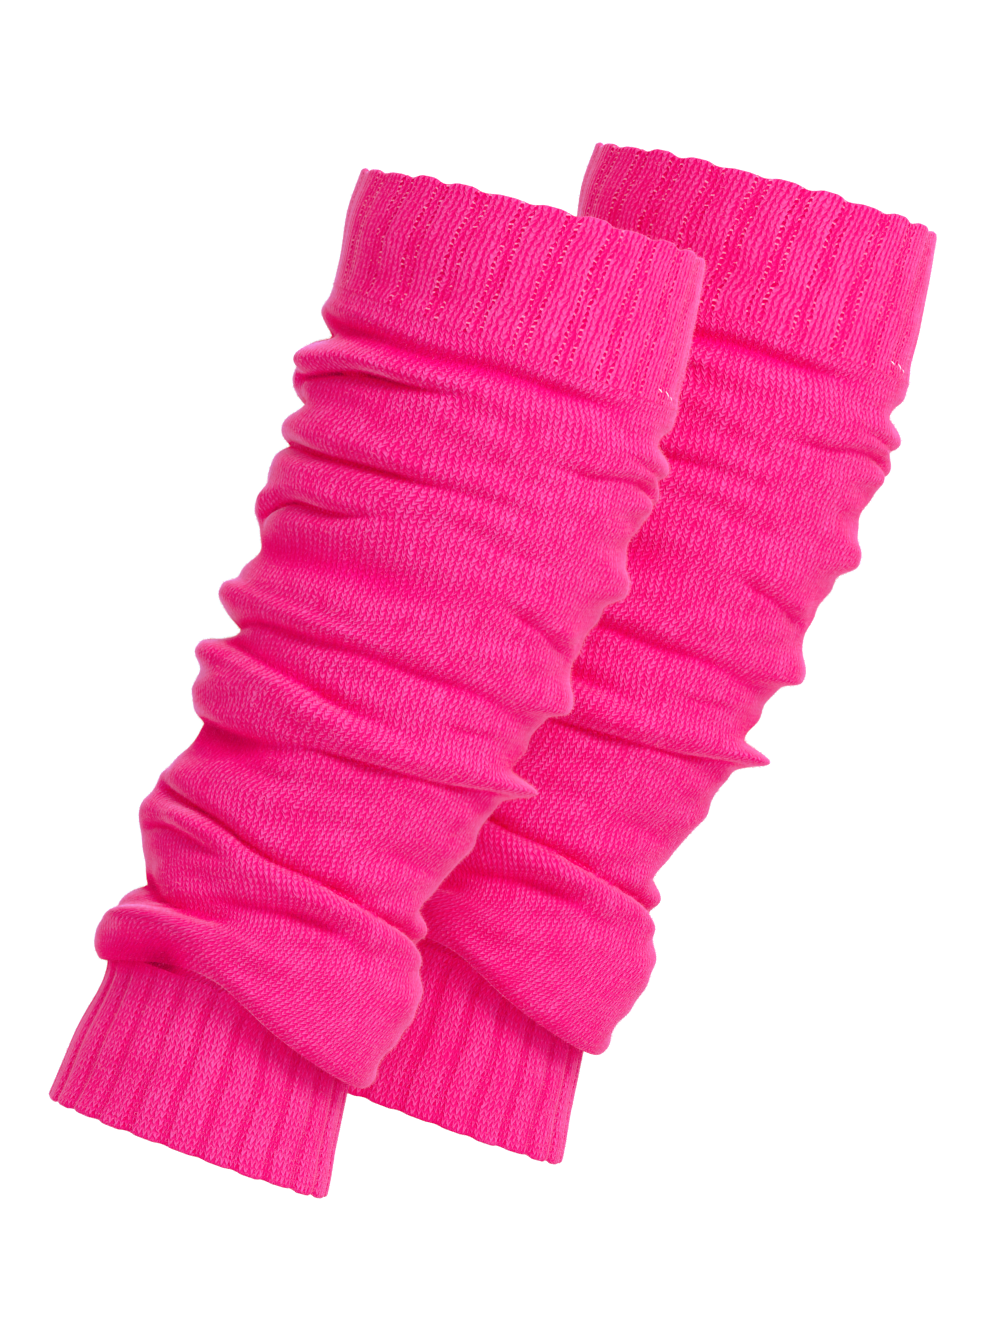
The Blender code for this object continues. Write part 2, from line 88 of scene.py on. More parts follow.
# Slouched folds. Each is a rounded crest over a sunk crease. The crease runs from the start
# angle to the end angle through three heights. "crest" and "crease" are how far the two stand
# out and lie in, "width" is the crest's own height and "droop" how far it sags, in millimetres.
# The crease's sides spread below and above it by so many millimetres, and it is pinched sharp
# or, towards soft=1, a rounded trough. Over the two fades, shares of its length, it dies away.
Fold = namedtuple("Fold", "start end at_start at_middle at_end crest width "
                          "crease below above soft droop fade_in fade_out")
FOLDS = (
    # front and sides, from the top cuff down
    Fold(-94, 82, 273.5, 275.5, 285.0, 1.4, 5.0, 4.8, 3.4, 3.0, 0.7, 0.0, 0.12, 0.36),
    Fold(-130, -62, 266.5, 268.2, 271.5, 0.0, 5.0, 5.0, 2.2, 2.4, 0.5, 0.0, 0.40, 0.40),
    Fold(-86, 8, 253.0, 261.6, 264.5, 3.4, 6.0, 4.8, 4.0, 1.3, 0.0, 1.6, 0.10, 0.45),
    Fold(-150, -58, 241.0, 242.6, 247.0, 0.0, 5.0, 6.8, 2.8, 2.0, 0.3, 0.0, 0.30, 0.40),
    Fold(-76, 10, 249.0, 250.5, 252.0, 0.0, 5.0, 1.7, 4.5, 4.5, 1.0, 0.0, 0.30, 0.50),
    Fold(60, 130, 272.5, 272.5, 271.0, 0.0, 5.0, 5.2, 2.4, 3.4, 0.4, 0.0, 0.40, 0.30),
    Fold(34, 128, 268.5, 263.0, 258.0, 1.2, 5.0, 2.4, 2.0, 1.6, 0.2, 0.5, 0.40, 0.30),
    Fold(10, 118, 247.0, 257.5, 246.0, 2.2, 6.0, 3.0, 2.0, 2.4, 0.2, 0.5, 0.35, 0.25),
    Fold(-30, 24, 240.0, 245.0, 251.0, 0.0, 5.0, 1.3, 2.4, 2.4, 0.5, 0.0, 0.40, 0.40),
    Fold(-132, 24, 230.0, 231.6, 237.0, 1.4, 6.0, 4.6, 2.8, 1.8, 0.1, 1.0, 0.15, 0.30),
    Fold(44, 130, 241.0, 240.0, 238.0, 0.0, 5.0, 2.2, 6.0, 5.0, 1.0, 0.0, 0.40, 0.30),
    Fold(44, 130, 205.0, 204.0, 202.0, 0.0, 5.0, 2.0, 14.0, 9.0, 1.0, 0.0, 0.40, 0.30),
    Fold(-88, -6, 205.5, 214.8, 218.5, 1.8, 6.0, 4.0, 2.4, 1.4, 0.0, 0.8, 0.12, 0.50),
    Fold(22, 80, 207.0, 200.5, 194.5, 1.4, 5.0, 2.8, 2.0, 1.8, 0.2, 0.4, 0.35, 0.35),
    Fold(-125, 30, 192.5, 197.5, 200.0, 0.0, 5.0, 3.8, 4.6, 4.6, 0.9, 0.0, 0.22, 0.35),
    Fold(-4, 58, 226.0, 221.0, 222.0, 0.0, 5.0, 1.2, 2.4, 2.4, 0.5, 0.0, 0.40, 0.40),
    Fold(-128, 96, 164.0, 174.0, 172.0, 1.2, 5.0, 3.8, 3.0, 2.4, 0.4, 0.3, 0.10, 0.35),
    Fold(-136, -58, 165.0, 165.6, 167.5, 0.0, 5.0, 4.6, 2.2, 3.4, 0.8, 0.0, 0.25, 0.45),
    Fold(44, 130, 156.0, 156.0, 155.0, 0.0, 5.0, 3.2, 1.6, 7.0, 0.8, 0.0, 0.40, 0.30),
    Fold(22, 62, 163.0, 161.5, 162.5, 0.6, 4.0, 2.0, 1.6, 1.6, 0.2, 0.2, 0.40, 0.40),
    Fold(-84, 32, 163.0, 157.8, 151.5, 0.0, 5.0, 4.0, 1.4, 4.6, 0.3, 0.0, 0.20, 0.45),
    Fold(-130, 0, 133.0, 134.2, 136.5, 0.6, 7.0, 6.8, 9.0, 2.2, 0.6, 0.4, 0.15, 0.35),
    Fold(-34, 100, 136.0, 142.5, 148.0, 2.2, 7.0, 3.8, 2.0, 1.3, 0.0, 1.0, 0.20, 0.15),
    Fold(-46, -8, 124.0, 125.5, 127.5, 0.0, 5.0, 1.2, 2.6, 2.0, 0.6, 0.0, 0.40, 0.40),
    Fold(24, 84, 119.0, 113.0, 116.0, 0.0, 5.0, 1.6, 2.6, 2.2, 0.5, 0.0, 0.40, 0.40),
    Fold(-86, 114, 111.6, 98.8, 86.5, 1.4, 6.0, 4.4, 1.3, 2.4, 0.0, 0.6, 0.08, 0.15),
    Fold(56, 130, 101.5, 101.0, 100.0, 0.0, 5.0, 2.8, 2.6, 5.0, 0.5, 0.0, 0.40, 0.30),
    Fold(-90, -16, 96.5, 98.0, 95.5, 1.2, 4.0, 3.2, 1.6, 2.0, 0.2, 0.3, 0.25, 0.40),
    Fold(-128, -42, 79.0, 78.4, 75.5, 0.2, 6.0, 5.6, 2.2, 6.0, 0.5, 0.4, 0.15, 0.35),
    Fold(-68, -10, 76.5, 74.6, 78.5, 0.0, 5.0, 4.0, 1.8, 3.4, 0.2, 0.0, 0.25, 0.35),
    Fold(-86, -32, 65.5, 70.0, 73.5, 0.0, 5.0, 2.6, 1.2, 1.5, 0.0, 0.0, 0.20, 0.40),
    Fold(-40, 52, 77.0, 85.4, 79.0, 2.6, 8.0, 4.2, 3.0, 2.4, 0.4, 1.0, 0.30, 0.40),
    # behind
    Fold(102, 252, 271.0, 266.0, 269.0, 2.6, 8.0, 3.4, 4.0, 2.6, 0.4, 0.8, 0.25, 0.25),
    Fold(128, 208, 246.0, 251.0, 247.0, 3.0, 9.0, 3.4, 4.0, 2.8, 0.3, 0.8, 0.35, 0.35),
    Fold(98, 224, 232.0, 226.0, 229.5, 3.0, 8.0, 3.6, 3.6, 2.6, 0.2, 0.8, 0.30, 0.30),
    Fold(168, 262, 214.0, 211.0, 204.0, 2.8, 8.0, 3.6, 3.4, 2.4, 0.2, 0.8, 0.30, 0.25),
    Fold(88, 214, 204.0, 197.0, 194.0, 3.4, 9.0, 4.2, 4.0, 2.6, 0.1, 1.0, 0.25, 0.35),
    Fold(146, 248, 182.0, 179.0, 169.0, 3.2, 9.0, 4.2, 4.0, 2.6, 0.1, 1.0, 0.30, 0.25),
    Fold(104, 216, 168.0, 160.0, 155.5, 2.8, 7.0, 3.6, 3.4, 2.4, 0.2, 0.8, 0.25, 0.30),
    Fold(134, 252, 147.0, 140.0, 133.5, 3.4, 9.0, 4.8, 4.0, 2.6, 0.1, 1.0, 0.30, 0.25),
    Fold(94, 206, 126.0, 121.0, 118.0, 2.8, 8.0, 3.4, 3.4, 2.4, 0.3, 0.8, 0.25, 0.35),
    Fold(142, 242, 107.0, 103.0, 98.0, 3.0, 8.0, 4.0, 3.4, 2.4, 0.2, 0.8, 0.30, 0.30),
    Fold(96, 236, 88.0, 85.0, 79.0, 3.2, 9.0, 4.2, 4.0, 2.6, 0.2, 0.8, 0.25, 0.25),
)

# Lips and rolls of cloth that stand out where a fold is pinched, through three heights, with
# their spread in millimetres below and above, and the share of their length over which each of
# their ends dies away
Lip = namedtuple("Lip", "start end at_start at_middle at_end out below above droop fade")
LIPS = (
    # left-hand side and front, from the top cuff down
    Lip(-134, -60, 277.0, 278.0, 279.5, 1.6, 4.0, 4.0, 0.0, 0.35),
    Lip(-134, -48, 256.0, 258.0, 263.0, 2.6, 9.0, 5.0, 0.0, 0.35),
    Lip(-134, -58, 221.0, 223.0, 227.0, 0.8, 5.0, 3.0, 0.0, 0.35),
    Lip(-134, -64, 206.0, 208.0, 212.0, 1.6, 5.0, 5.0, 0.0, 0.35),
    Lip(-126, -58, 178.0, 179.3, 179.2, 4.6, 5.2, 3.0, 0.0, 0.40),
    Lip(-84, 10, 179.0, 178.4, 177.0, 1.7, 4.0, 2.4, 0.0, 0.30),
    Lip(-130, -56, 158.5, 159.0, 157.4, 4.8, 5.6, 2.8, 0.0, 0.35),
    Lip(-134, -60, 146.0, 146.0, 147.0, 1.3, 4.0, 4.0, 0.0, 0.35),
    Lip(-84, 44, 156.5, 153.4, 145.5, 2.2, 7.0, 2.0, 0.0, 0.22),
    Lip(-134, -62, 112.5, 112.5, 114.0, 2.0, 5.0, 3.4, 0.0, 0.35),
    Lip(-128, -60, 101.0, 101.0, 102.5, 3.6, 7.0, 6.0, 0.0, 0.40),
    Lip(-76, 98, 106.0, 96.2, 87.0, 2.2, 5.0, 2.2, 0.0, 0.18),
    Lip(-100, 24, 62.0, 72.0, 66.0, 2.6, 5.0, 1.5, 0.0, 0.26),
    # right-hand side
    Lip(58, 124, 264.0, 264.0, 262.0, 1.0, 2.8, 5.0, 0.3, 0.40),
    Lip(58, 126, 252.5, 252.5, 250.0, 3.2, 4.2, 3.4, 0.3, 0.40),
    Lip(56, 128, 223.0, 224.5, 222.0, 4.0, 5.4, 4.4, 0.3, 0.40),
    Lip(50, 128, 178.5, 181.5, 180.5, 6.0, 3.8, 6.0, 1.0, 0.40),
    Lip(50, 128, 149.0, 151.0, 150.0, 8.0, 5.0, 2.4, 0.0, 0.40),
    Lip(50, 128, 123.0, 123.0, 122.0, 1.8, 5.0, 6.0, 0.0, 0.40),
    Lip(46, 136, 70.0, 71.5, 70.0, 3.0, 8.0, 9.0, 0.0, 0.35),
)

# The lowest fold hangs over the ankle cuff: how low its edge comes, how much further out it
# stands than the rest of the leg, how far above its edge it is fullest, how far that spreads
# and how much of the roll's underside lies in the shade
Hang = namedtuple("Hang", "angle edge swell roll spread shade")
HANGS = (
    Hang(angle=-180, edge=56.0, swell=1.0, roll=5.0, spread=7.0, shade=0.5),
    Hang(angle=-130, edge=51.0, swell=3.0, roll=8.0, spread=7.5, shade=0.6),
    Hang(angle=-90, edge=50.0, swell=3.8, roll=7.0, spread=6.0, shade=0.7),
    Hang(angle=-70, edge=51.0, swell=5.2, roll=12.0, spread=6.5, shade=1.0),
    Hang(angle=-50, edge=53.8, swell=6.7, roll=14.6, spread=7.5, shade=1.3),
    Hang(angle=-34, edge=56.8, swell=5.6, roll=12.0, spread=7.0, shade=1.7),
    Hang(angle=-20, edge=57.5, swell=3.6, roll=7.0, spread=6.0, shade=0.2),
    Hang(angle=-10, edge=56.0, swell=2.2, roll=4.0, spread=6.0, shade=0.2),
    Hang(angle=1, edge=52.0, swell=1.4, roll=3.0, spread=6.0, shade=0.1),
    Hang(angle=13, edge=47.5, swell=1.0, roll=3.0, spread=6.0, shade=0.1),
    Hang(angle=30, edge=43.0, swell=0.6, roll=3.0, spread=6.0, shade=0.1),
    Hang(angle=50, edge=40.0, swell=-0.5, roll=4.0, spread=6.0, shade=0.1),
    Hang(angle=66, edge=39.2, swell=-2.0, roll=6.0, spread=7.0, shade=0.1),
    Hang(angle=90, edge=41.0, swell=-4.0, roll=8.0, spread=8.0, shade=0.2),
    Hang(angle=130, edge=50.0, swell=0.0, roll=4.0, spread=6.0, shade=0.4),
    Hang(angle=180, edge=56.0, swell=1.0, roll=5.0, spread=7.0, shade=0.5),
)

# Its section from the seam: cloth used, share of the way out to the leg and share of the hang
Turn = namedtuple("Turn", "cloth out fall")
TURNS = (
    Turn(cloth=0.0, out=0.00, fall=0.00),
    Turn(cloth=2.5, out=0.00, fall=0.00),
    Turn(cloth=4.5, out=0.22, fall=0.02),
    Turn(cloth=6.5, out=0.34, fall=0.30),
    Turn(cloth=9.0, out=0.42, fall=0.75),
    Turn(cloth=11.5, out=0.58, fall=1.00),
    Turn(cloth=14.0, out=0.88, fall=0.96),
    Turn(cloth=18.0, out=1.00, fall=0.76),
    Turn(cloth=24.0, out=1.00, fall=0.48),
    Turn(cloth=34.0, out=1.00, fall=0.16),
    Turn(cloth=48.0, out=1.00, fall=0.00),
)

# Lean of the wales in degrees, to the right going up, where the folds drag them: on the left of
# the front, in the middle and on the right. These are measured directions of the stitches, those
# above the lowest fold scaled down. The folds here don't work them out.
Drag = namedtuple("Drag", "height left middle right")
DRAGS = (
    Drag(height=286, left=4, middle=1, right=-5),
    Drag(height=280, left=7, middle=4, right=4),
    Drag(height=274, left=33, middle=7, right=-9),
    Drag(height=269, left=0, middle=-6, right=-4),
    Drag(height=264, left=-24, middle=-14, right=-5),
    Drag(height=258, left=-2, middle=-6, right=4),
    Drag(height=252, left=-4, middle=6, right=4),
    Drag(height=247, left=7, middle=4, right=0),
    Drag(height=242, left=26, middle=1, right=-2),
    Drag(height=236, left=-6, middle=-1, right=-3),
    Drag(height=230, left=31, middle=6, right=1),
    Drag(height=225, left=13, middle=6, right=8),
    Drag(height=221, left=-13, middle=2, right=6),
    Drag(height=217, left=-26, middle=-3, right=-1),
    Drag(height=211, left=18, middle=4, right=-1),
    Drag(height=205, left=7, middle=6, right=9),
    Drag(height=199, left=-15, middle=0, right=8),
    Drag(height=193, left=-9, middle=1, right=0),
    Drag(height=187, left=-4, middle=7, right=-3),
    Drag(height=182, left=42, middle=11, right=4),
    Drag(height=177, left=22, middle=10, right=9),
    Drag(height=171, left=7, middle=6, right=5),
    Drag(height=165, left=11, middle=-1, right=1),
    Drag(height=160, left=-6, middle=-10, right=4),
    Drag(height=154, left=35, middle=8, right=-6),
    Drag(height=149, left=15, middle=14, right=3),
    Drag(height=143, left=6, middle=11, right=9),
    Drag(height=137, left=0, middle=4, right=5),
    Drag(height=131, left=4, middle=5, right=-3),
    Drag(height=125, left=29, middle=8, right=-3),
    Drag(height=119, left=22, middle=10, right=9),
    Drag(height=112, left=-4, middle=6, right=4),
    Drag(height=104, left=-4, middle=0, right=3),
    Drag(height=98, left=-18, middle=-10, right=-5),
    Drag(height=90, left=-9, middle=-3, right=-4),
    Drag(height=83, left=-29, middle=-6, right=-1),
    Drag(height=77, left=-15, middle=6, right=6),
    Drag(height=71, left=50, middle=42, right=36),
    Drag(height=62, left=50, middle=46, right=44),
    Drag(height=48, left=46, middle=46, right=44),
    Drag(height=36, left=40, middle=44, right=44),
)
DRAG_SIDES = (-34.0, 2.0, 40.0)     # the angles that its three columns are for
DRAG_LASTS = 45.0         # lower down, the knitting slips back over this height
DRAG_FRONT = 70.0         # the folds drag the wales up to this angle either side of the front,
DRAG_FADE = 60.0          # and over so many degrees more the drag dies away

EDGE_CLOTH = 11.5         # cloth used when the lowest fold's edge is reached
SWELL_STARTS = 0.75       # of that cloth, before the fold swells,
SWELL_GROWS = 0.4         # and of it, until it has swelled
CREST_ABOVE = 0.9         # a crest lies this many fold widths above its crease
CREST_SPREAD = (0.75, 1.3)          # in fold widths, below and above the crest
CREASE_BOTTOM = 0.5       # mm over which the bottom of a crease is rounded
TROUGH_WIDER = 1.4        # a rounded trough is this much wider than a pinched crease
LIP_WIDER = 1.1           # and a lip than its spread

# Shade in the creases
NIP_FULL = 4.5            # a crease this deep is in full shade at its bottom
NIP_SPREAD = 0.55         # the shade in a pinched crease reaches this share of its sides,
NIP_SOFTER = 0.75         # and in a rounded trough this much more
# The darker line is painted shade, kept to the left, away from the lamp
PIT_ANGLE = -60.0         # pinched creases have a darker line at their bottom on the left,
PIT_REACH = 50.4          # up to so many degrees from there
PIT_SPREAD = 0.5          # that line's share of the crease's sides
UNDER_FLAP = 7.0          # the ankle cuff is shaded this far below the lowest fold
FLAP_SHADE = 0.32         # by this share everywhere,
FLAP_SHADE_MORE = 0.6     # and by so much more where the fold's underside lies in the shade

# Unevenness, so that nothing is ruled straight: its size, its most waves round the leg, the
# shortest and longest of its waves up the leg in millimetres, and how many waves it sums
Ripple = namedtuple("Ripple", "size turns wave count")
FOLD_WANDERS = Ripple(size=0.8, turns=9, wave=(50.0, 90.0), count=6)      # mm up and down
FOLD_VARIES = Ripple(size=0.15, turns=8, wave=(50.0, 90.0), count=6)      # share of its depth
LEG_BUMPS = Ripple(size=0.45, turns=9, wave=(8.0, 22.0), count=18)        # mm out and in
CUFF_BUMPS = Ripple(size=0.45, turns=5, wave=(24.0, 60.0), count=14)      # mm out and in
RIBS_SWAY = Ripple(size=0.45, turns=4, wave=(22.0, 60.0), count=14)       # degrees
WALES_SLIP = Ripple(size=0.3, turns=3, wave=(18.0, 42.0), count=14)       # wales
STITCHES_SLIP = Ripple(size=0.1, turns=13, wave=(8.0, 20.0), count=14)    # wales
WANDER_SEED = 40          # each fold adds its own number to these two
DEPTH_SEED = 90
LEG_SEED = 7

# ---------------------------------------------------------------- the knitting
WALES_PER_RIB = 7         # five knit wales and a sunken groove of two purl wales
PURL_WALES = 2
WALES = RIBS * WALES_PER_RIB
WALE_PITCH = 2.06         # of two wales, in the leg
COURSE = 1.9              # height of a row of stitches in the leg
KNIT_WALL = 1.9           # thickness of the plain knitting
FLAP_THINNER = 0.9        # it is squeezed this much thinner where the lowest fold turns over,
FLAP_TURN = 7.0           # and this much of its cloth is the turn
CUFF_WALL = 2.2
WALE_DEPTH = 0.12         # of the furrow between two knit wales of a cuff
RIB_FADE = 7.0            # ribs die away over this much cloth before the leg
RIB_LOBES = (0.5, 1.5)    # each rib's lobe at the free edge is between these shares of its size
GROOVE_SIDES = 1.3        # a groove's sides reach this many of its widths from its middle
EDGE_ROUNDING = 0.9       # a free edge is rounded past its face by this much
ROUND_RIM = 0.8           # the courses go on round it, on this radius

# A ribbed cuff: the angle of a groove, right of the front; a groove's share of a rib's turn; how
# far the ribs turn at the lower and upper edge; a groove's depth and its share of a full
# crease's shade; the ribs' lobes at the lower and upper edge; whether the ribs die away there;
# the height of a course; the seed of its unevenness
Cuff = namedtuple("Cuff", "turned purl_share twist depth shade low_lobe high_lobe "
                          "fades_low fades_high course seed")
TOP_CUFF = Cuff(turned=9.5, purl_share=0.28, twist=(-5.5, 3.2), depth=0.42, shade=0.15,
                low_lobe=0.0, high_lobe=0.9, fades_low=True, fades_high=False,
                course=1.9, seed=21)
ANKLE_CUFF = Cuff(turned=5.3, purl_share=0.22, twist=(0.0, 0.0), depth=0.9, shade=0.22,
                  low_lobe=0.6, high_lobe=0.0, fades_low=False, fades_high=True,
                  course=2.35, seed=33)

# ---------------------------------------------------------------- the mesh
LEG_COLUMNS = 288
LEG_ROWS = 270
FLAP_CLOTH = 36.0         # rows are closer together in the cloth of the lowest fold
FLAP_ROWS = 46
CUFF_COLUMNS_PER_RIB = 30
CUFF_ROW = 1.15
RIM_STEPS = 5             # rings round a cuff's rounded free edge
# The inside has half the columns, and of the rows one in so many
FLAP_ROW_SKIP = 2
LEG_ROW_SKIP = 4
CUFF_ROW_SKIP = 3
CORNER = 60.0             # degrees; edges sharper than this aren't shaded smooth


def smooth_step(share):
    """Eases from 0 to 1 while the share goes from 0 to 1."""
    share = np.clip(share, 0.0, 1.0)
    return share * share * (3.0 - 2.0 * share)


def bump(offset, spreads):
    """A rounded bump at offset 0 with its own spread below and above."""
    spread = np.where(offset < 0.0, spreads[0], spreads[1])
    return np.exp(-(offset / spread) ** 2)


def knob(offset, spreads):
    """A fuller bump at offset 0 with steeper sides."""
    spread = np.where(offset < 0.0, spreads[0], spreads[1])
    return np.exp(-np.abs(offset / spread / LIP_WIDER) ** 3)


def pinch(offset, spreads, rounded):
    """A crease between two rolls of cloth: sharp at offset 0, with rounded shoulders."""
    spread = np.where(offset < 0.0, spreads[0], spreads[1])
    return np.exp((rounded - np.sqrt(offset ** 2 + rounded ** 2)) / spread)


def smooth_table(rows, key, value, at):
    """Reads one column of a table at any place, on a smooth curve through its rows."""
    keys = np.array([getattr(row, key) for row in rows], float)
    values = np.array([getattr(row, value) for row in rows], float)
    slopes = np.gradient(values, keys)
    at = np.clip(at, keys[0], keys[-1])
    lower = np.clip(np.searchsorted(keys, at, side="right") - 1, 0, len(keys) - 2)
    gap = keys[lower + 1] - keys[lower]
    share = (at - keys[lower]) / gap
    rest = 1.0 - share
    return (values[lower] * rest * rest * (1.0 + 2.0 * share)
            + values[lower + 1] * share * share * (1.0 + 2.0 * rest)
            + slopes[lower] * gap * share * rest * rest
            - slopes[lower + 1] * gap * rest * share * share)


def ripples(angle, height, seed, ripple):
    """Smooth seeded unevenness at each angle and height."""
    random = np.random.default_rng(seed)
    total = np.zeros(np.broadcast(angle, height).shape)
    for _ in range(ripple.count):
        around = random.integers(-ripple.turns, ripple.turns + 1)
        length = random.uniform(*ripple.wave) * random.choice((-1.0, 1.0))
        phase = random.uniform(0.0, 2.0 * math.pi)
        total = total + np.cos(around * np.radians(angle) + 2.0 * math.pi * height / length + phase)
    return ripple.size * (total / math.sqrt(ripple.count))


def along_path(row, angle):
    """Share of the way along a fold's path at each angle, and the path's height there."""
    share = ((angle - row.start) % 360.0) / (row.end - row.start)
    height = (row.at_start * (1.0 - share) * (1.0 - 2.0 * share)
              + row.at_middle * 4.0 * share * (1.0 - share)
              + row.at_end * share * (2.0 * share - 1.0))
    return share, height


def relief(angle, height):
    """How far the folds push each point of the leg out and down, and how much it is shaded in a
    pinched crease: 1 is full shade, and more is the darkest line at a crease's bottom."""
    out = np.zeros_like(height)
    down = np.zeros_like(height)
    nipped = np.zeros_like(height)
    pit_share = smooth_step(1.0 - np.abs(angle - PIT_ANGLE) / PIT_REACH)
    for number, fold in enumerate(FOLDS):
        share, line = along_path(fold, angle)
        line = line + ripples(angle, 0.0, WANDER_SEED + number, FOLD_WANDERS)
        depth = fold.crease * (1.0 + ripples(angle, 0.0, DEPTH_SEED + number, FOLD_VARIES))
        strength = smooth_step(share / fold.fade_in) * smooth_step((1.0 - share) / fold.fade_out)
        offset = height - line
        crest = strength * bump(offset / fold.width - CREST_ABOVE, CREST_SPREAD)
        sides = (fold.below, fold.above)
        pinched = 1.0 - fold.soft
        crease = (pinched * pinch(offset, sides, CREASE_BOTTOM)
                  + fold.soft * bump(offset / TROUGH_WIDER, sides))
        out += fold.crest * crest - depth * strength * crease
        down += fold.droop * crest
        full = fold.crease / NIP_FULL
        nip = full * bump(offset / (NIP_SPREAD + NIP_SOFTER * fold.soft), sides)
        pit = full * pinched * pit_share * bump(offset / PIT_SPREAD, sides)
        nipped = np.maximum(nipped, strength * (np.minimum(nip, 1.0) + pit))
    for lip in LIPS:
        share, line = along_path(lip, angle)
        strength = smooth_step(share / lip.fade) * smooth_step((1.0 - share) / lip.fade)
        ridge = strength * knob(height - line, (lip.below, lip.above))
        out += lip.out * ridge
        down += lip.droop * ridge
    return out, down, nipped


def dragged(angle, height, seed):
    """How many wales the stitches have slipped round the leg at each point. The folds drag them
    aside in front; elsewhere they slip by chance."""
    levels = np.arange(DRAGS[-1].height, UPPER_SEAM + 1.0)
    slipped = []
    for column in ("left", "middle", "right"):
        lean = np.tan(np.radians(smooth_table(DRAGS[::-1], "height", column, levels)))
        total = np.zeros_like(levels)
        for step in range(len(levels) - 2, -1, -1):
            total[step] = total[step + 1] * (1.0 - 1.0 / DRAG_LASTS) + lean[step] / WALE_PITCH
        slipped.append(np.interp(height, levels, total))
    left, middle, right = slipped
    low, centre, high = DRAG_SIDES
    front = (middle + (left - middle) * smooth_step((centre - angle) / (centre - low))
             + (right - middle) * smooth_step((angle - centre) / (high - centre)))
    behind = smooth_step((np.abs(angle) - DRAG_FRONT) / DRAG_FADE)
    loose = ripples(angle, height, seed, WALES_SLIP)
    loose = loose + ripples(angle, height, seed + 2, STITCHES_SLIP)
    return front * (1.0 - behind) + loose * (1.0 + behind)


def girth_point(angle, height, section_height, out):
    """A point of the tube: the section read at one height, pushed out, and set at another."""
    centre = smooth_table(SECTIONS, "height", "centre", section_height)
    half_width = smooth_table(SECTIONS, "height", "half_width", section_height)
    half_depth = smooth_table(SECTIONS, "height", "half_depth", section_height)
    turn = np.radians(angle)
    across = centre + (half_width + out) * np.sin(turn)
    away = -(half_depth + out) * np.cos(turn)
    return np.stack([across, away, height - GRIP_HEIGHT], axis=-1)


def leg_face(seed):
    """The leg's outer face as rows of points up the cloth, with the wale that each lies on and how
    much painted shade it has, in a crease or under the lowest fold."""
    flap = np.linspace(LOWER_SEAM, LOWER_SEAM + FLAP_CLOTH, FLAP_ROWS, endpoint=False)
    above = np.linspace(LOWER_SEAM + FLAP_CLOTH, UPPER_SEAM, LEG_ROWS - FLAP_ROWS)
    columns = -180.0 + 360.0 * np.arange(LEG_COLUMNS) / LEG_COLUMNS
    angle, cloth_height = np.meshgrid(columns, np.concatenate([flap, above]))
    cloth = cloth_height - LOWER_SEAM
    below_top = UPPER_SEAM - COLLAR - cloth_height
    free = smooth_step((cloth - EDGE_CLOTH) / FOLD_FREE) * smooth_step(below_top / FOLD_FREE)
    share_out = smooth_table(TURNS, "cloth", "out", cloth)
    share_fall = smooth_table(TURNS, "cloth", "fall", cloth)
    edge, swell, roll, spread, shade = (smooth_table(HANGS, "angle", column, angle)
                                        for column in ("edge", "swell", "roll", "spread", "shade"))
    hung_height = cloth_height - (LOWER_SEAM + EDGE_CLOTH - edge) * share_fall
    out, down, nipped = relief(angle, hung_height)
    uneven = ripples(angle, hung_height, seed + 1, LEG_BUMPS)
    body = np.clip(cloth_height, LOWER_SEAM + EDGE_CLOTH, UPPER_SEAM - COLLAR)
    section_height = LOWER_SEAM + (body - LOWER_SEAM) * share_out
    edge_swell = (swell * np.exp(-((hung_height - edge - roll) / spread) ** 2)
                  * smooth_step((cloth - SWELL_STARTS * EDGE_CLOTH) / (SWELL_GROWS * EDGE_CLOTH)))
    pushed = (out + uneven) * free + edge_swell
    points = girth_point(angle, hung_height - down * free, section_height, pushed)
    # Painted shade on the underside of the lowest fold's roll
    under = shade * smooth_step(1.0 - (hung_height - edge) / roll)
    wale = np.arange(LEG_COLUMNS) * WALES / LEG_COLUMNS + dragged(angle, hung_height, seed)
    return points, wale, np.maximum(nipped * free, under)


def face_normals(points):
    """Outward unit normals of a face given as rows of points that close round the leg."""
    around = np.roll(points, -1, axis=1) - np.roll(points, 1, axis=1)
    up = np.gradient(points, axis=0)
    normal = np.cross(around, up)
    return normal / np.linalg.norm(normal, axis=-1, keepdims=True)


def softened(points, times):
    """The same rows of points with small humps smoothed out, the two ends left as they are.
    Each time, a point goes half way to where its neighbours are, those up and down the cloth
    counting for more than those beside it."""
    for _ in range(times):
        sides = 0.5 * (np.roll(points, -1, axis=1) + np.roll(points, 1, axis=1))
        ends = points.copy()
        ends[1:-1] = 0.5 * (points[:-2] + points[2:])
        points = 0.5 * points + 0.2 * sides + 0.3 * ends
    return points


def rib_columns(cuff):
    """Of each column of a cuff: its angle, its wale number, and from 0 to 1 how far down a
    groove and how far down a furrow between two knit wales it lies."""
    index = np.arange(RIBS * CUFF_COLUMNS_PER_RIB)
    rib, place = np.divmod(index, CUFF_COLUMNS_PER_RIB)
    place = place / CUFF_COLUMNS_PER_RIB
    purl_share = cuff.purl_share
    angle = cuff.turned - 180.0 + 360.0 / RIBS * (rib + place - 0.5 * purl_share)
    purl = place < purl_share
    knit_place = (place - purl_share) / (1.0 - purl_share)
    wale = np.where(purl, PURL_WALES * place / purl_share,
                    PURL_WALES + (WALES_PER_RIB - PURL_WALES) * knit_place)
    from_groove = np.abs(place - 0.5 * purl_share)
    from_groove = np.minimum(from_groove, 1.0 - from_groove)
    groove = 1.0 - smooth_step(from_groove / (GROOVE_SIDES * purl_share))
    furrow = np.where(purl, 0.0, 0.5 + 0.5 * np.cos(2.0 * math.pi * wale))
    return angle, rib * WALES_PER_RIB + wale, groove, furrow


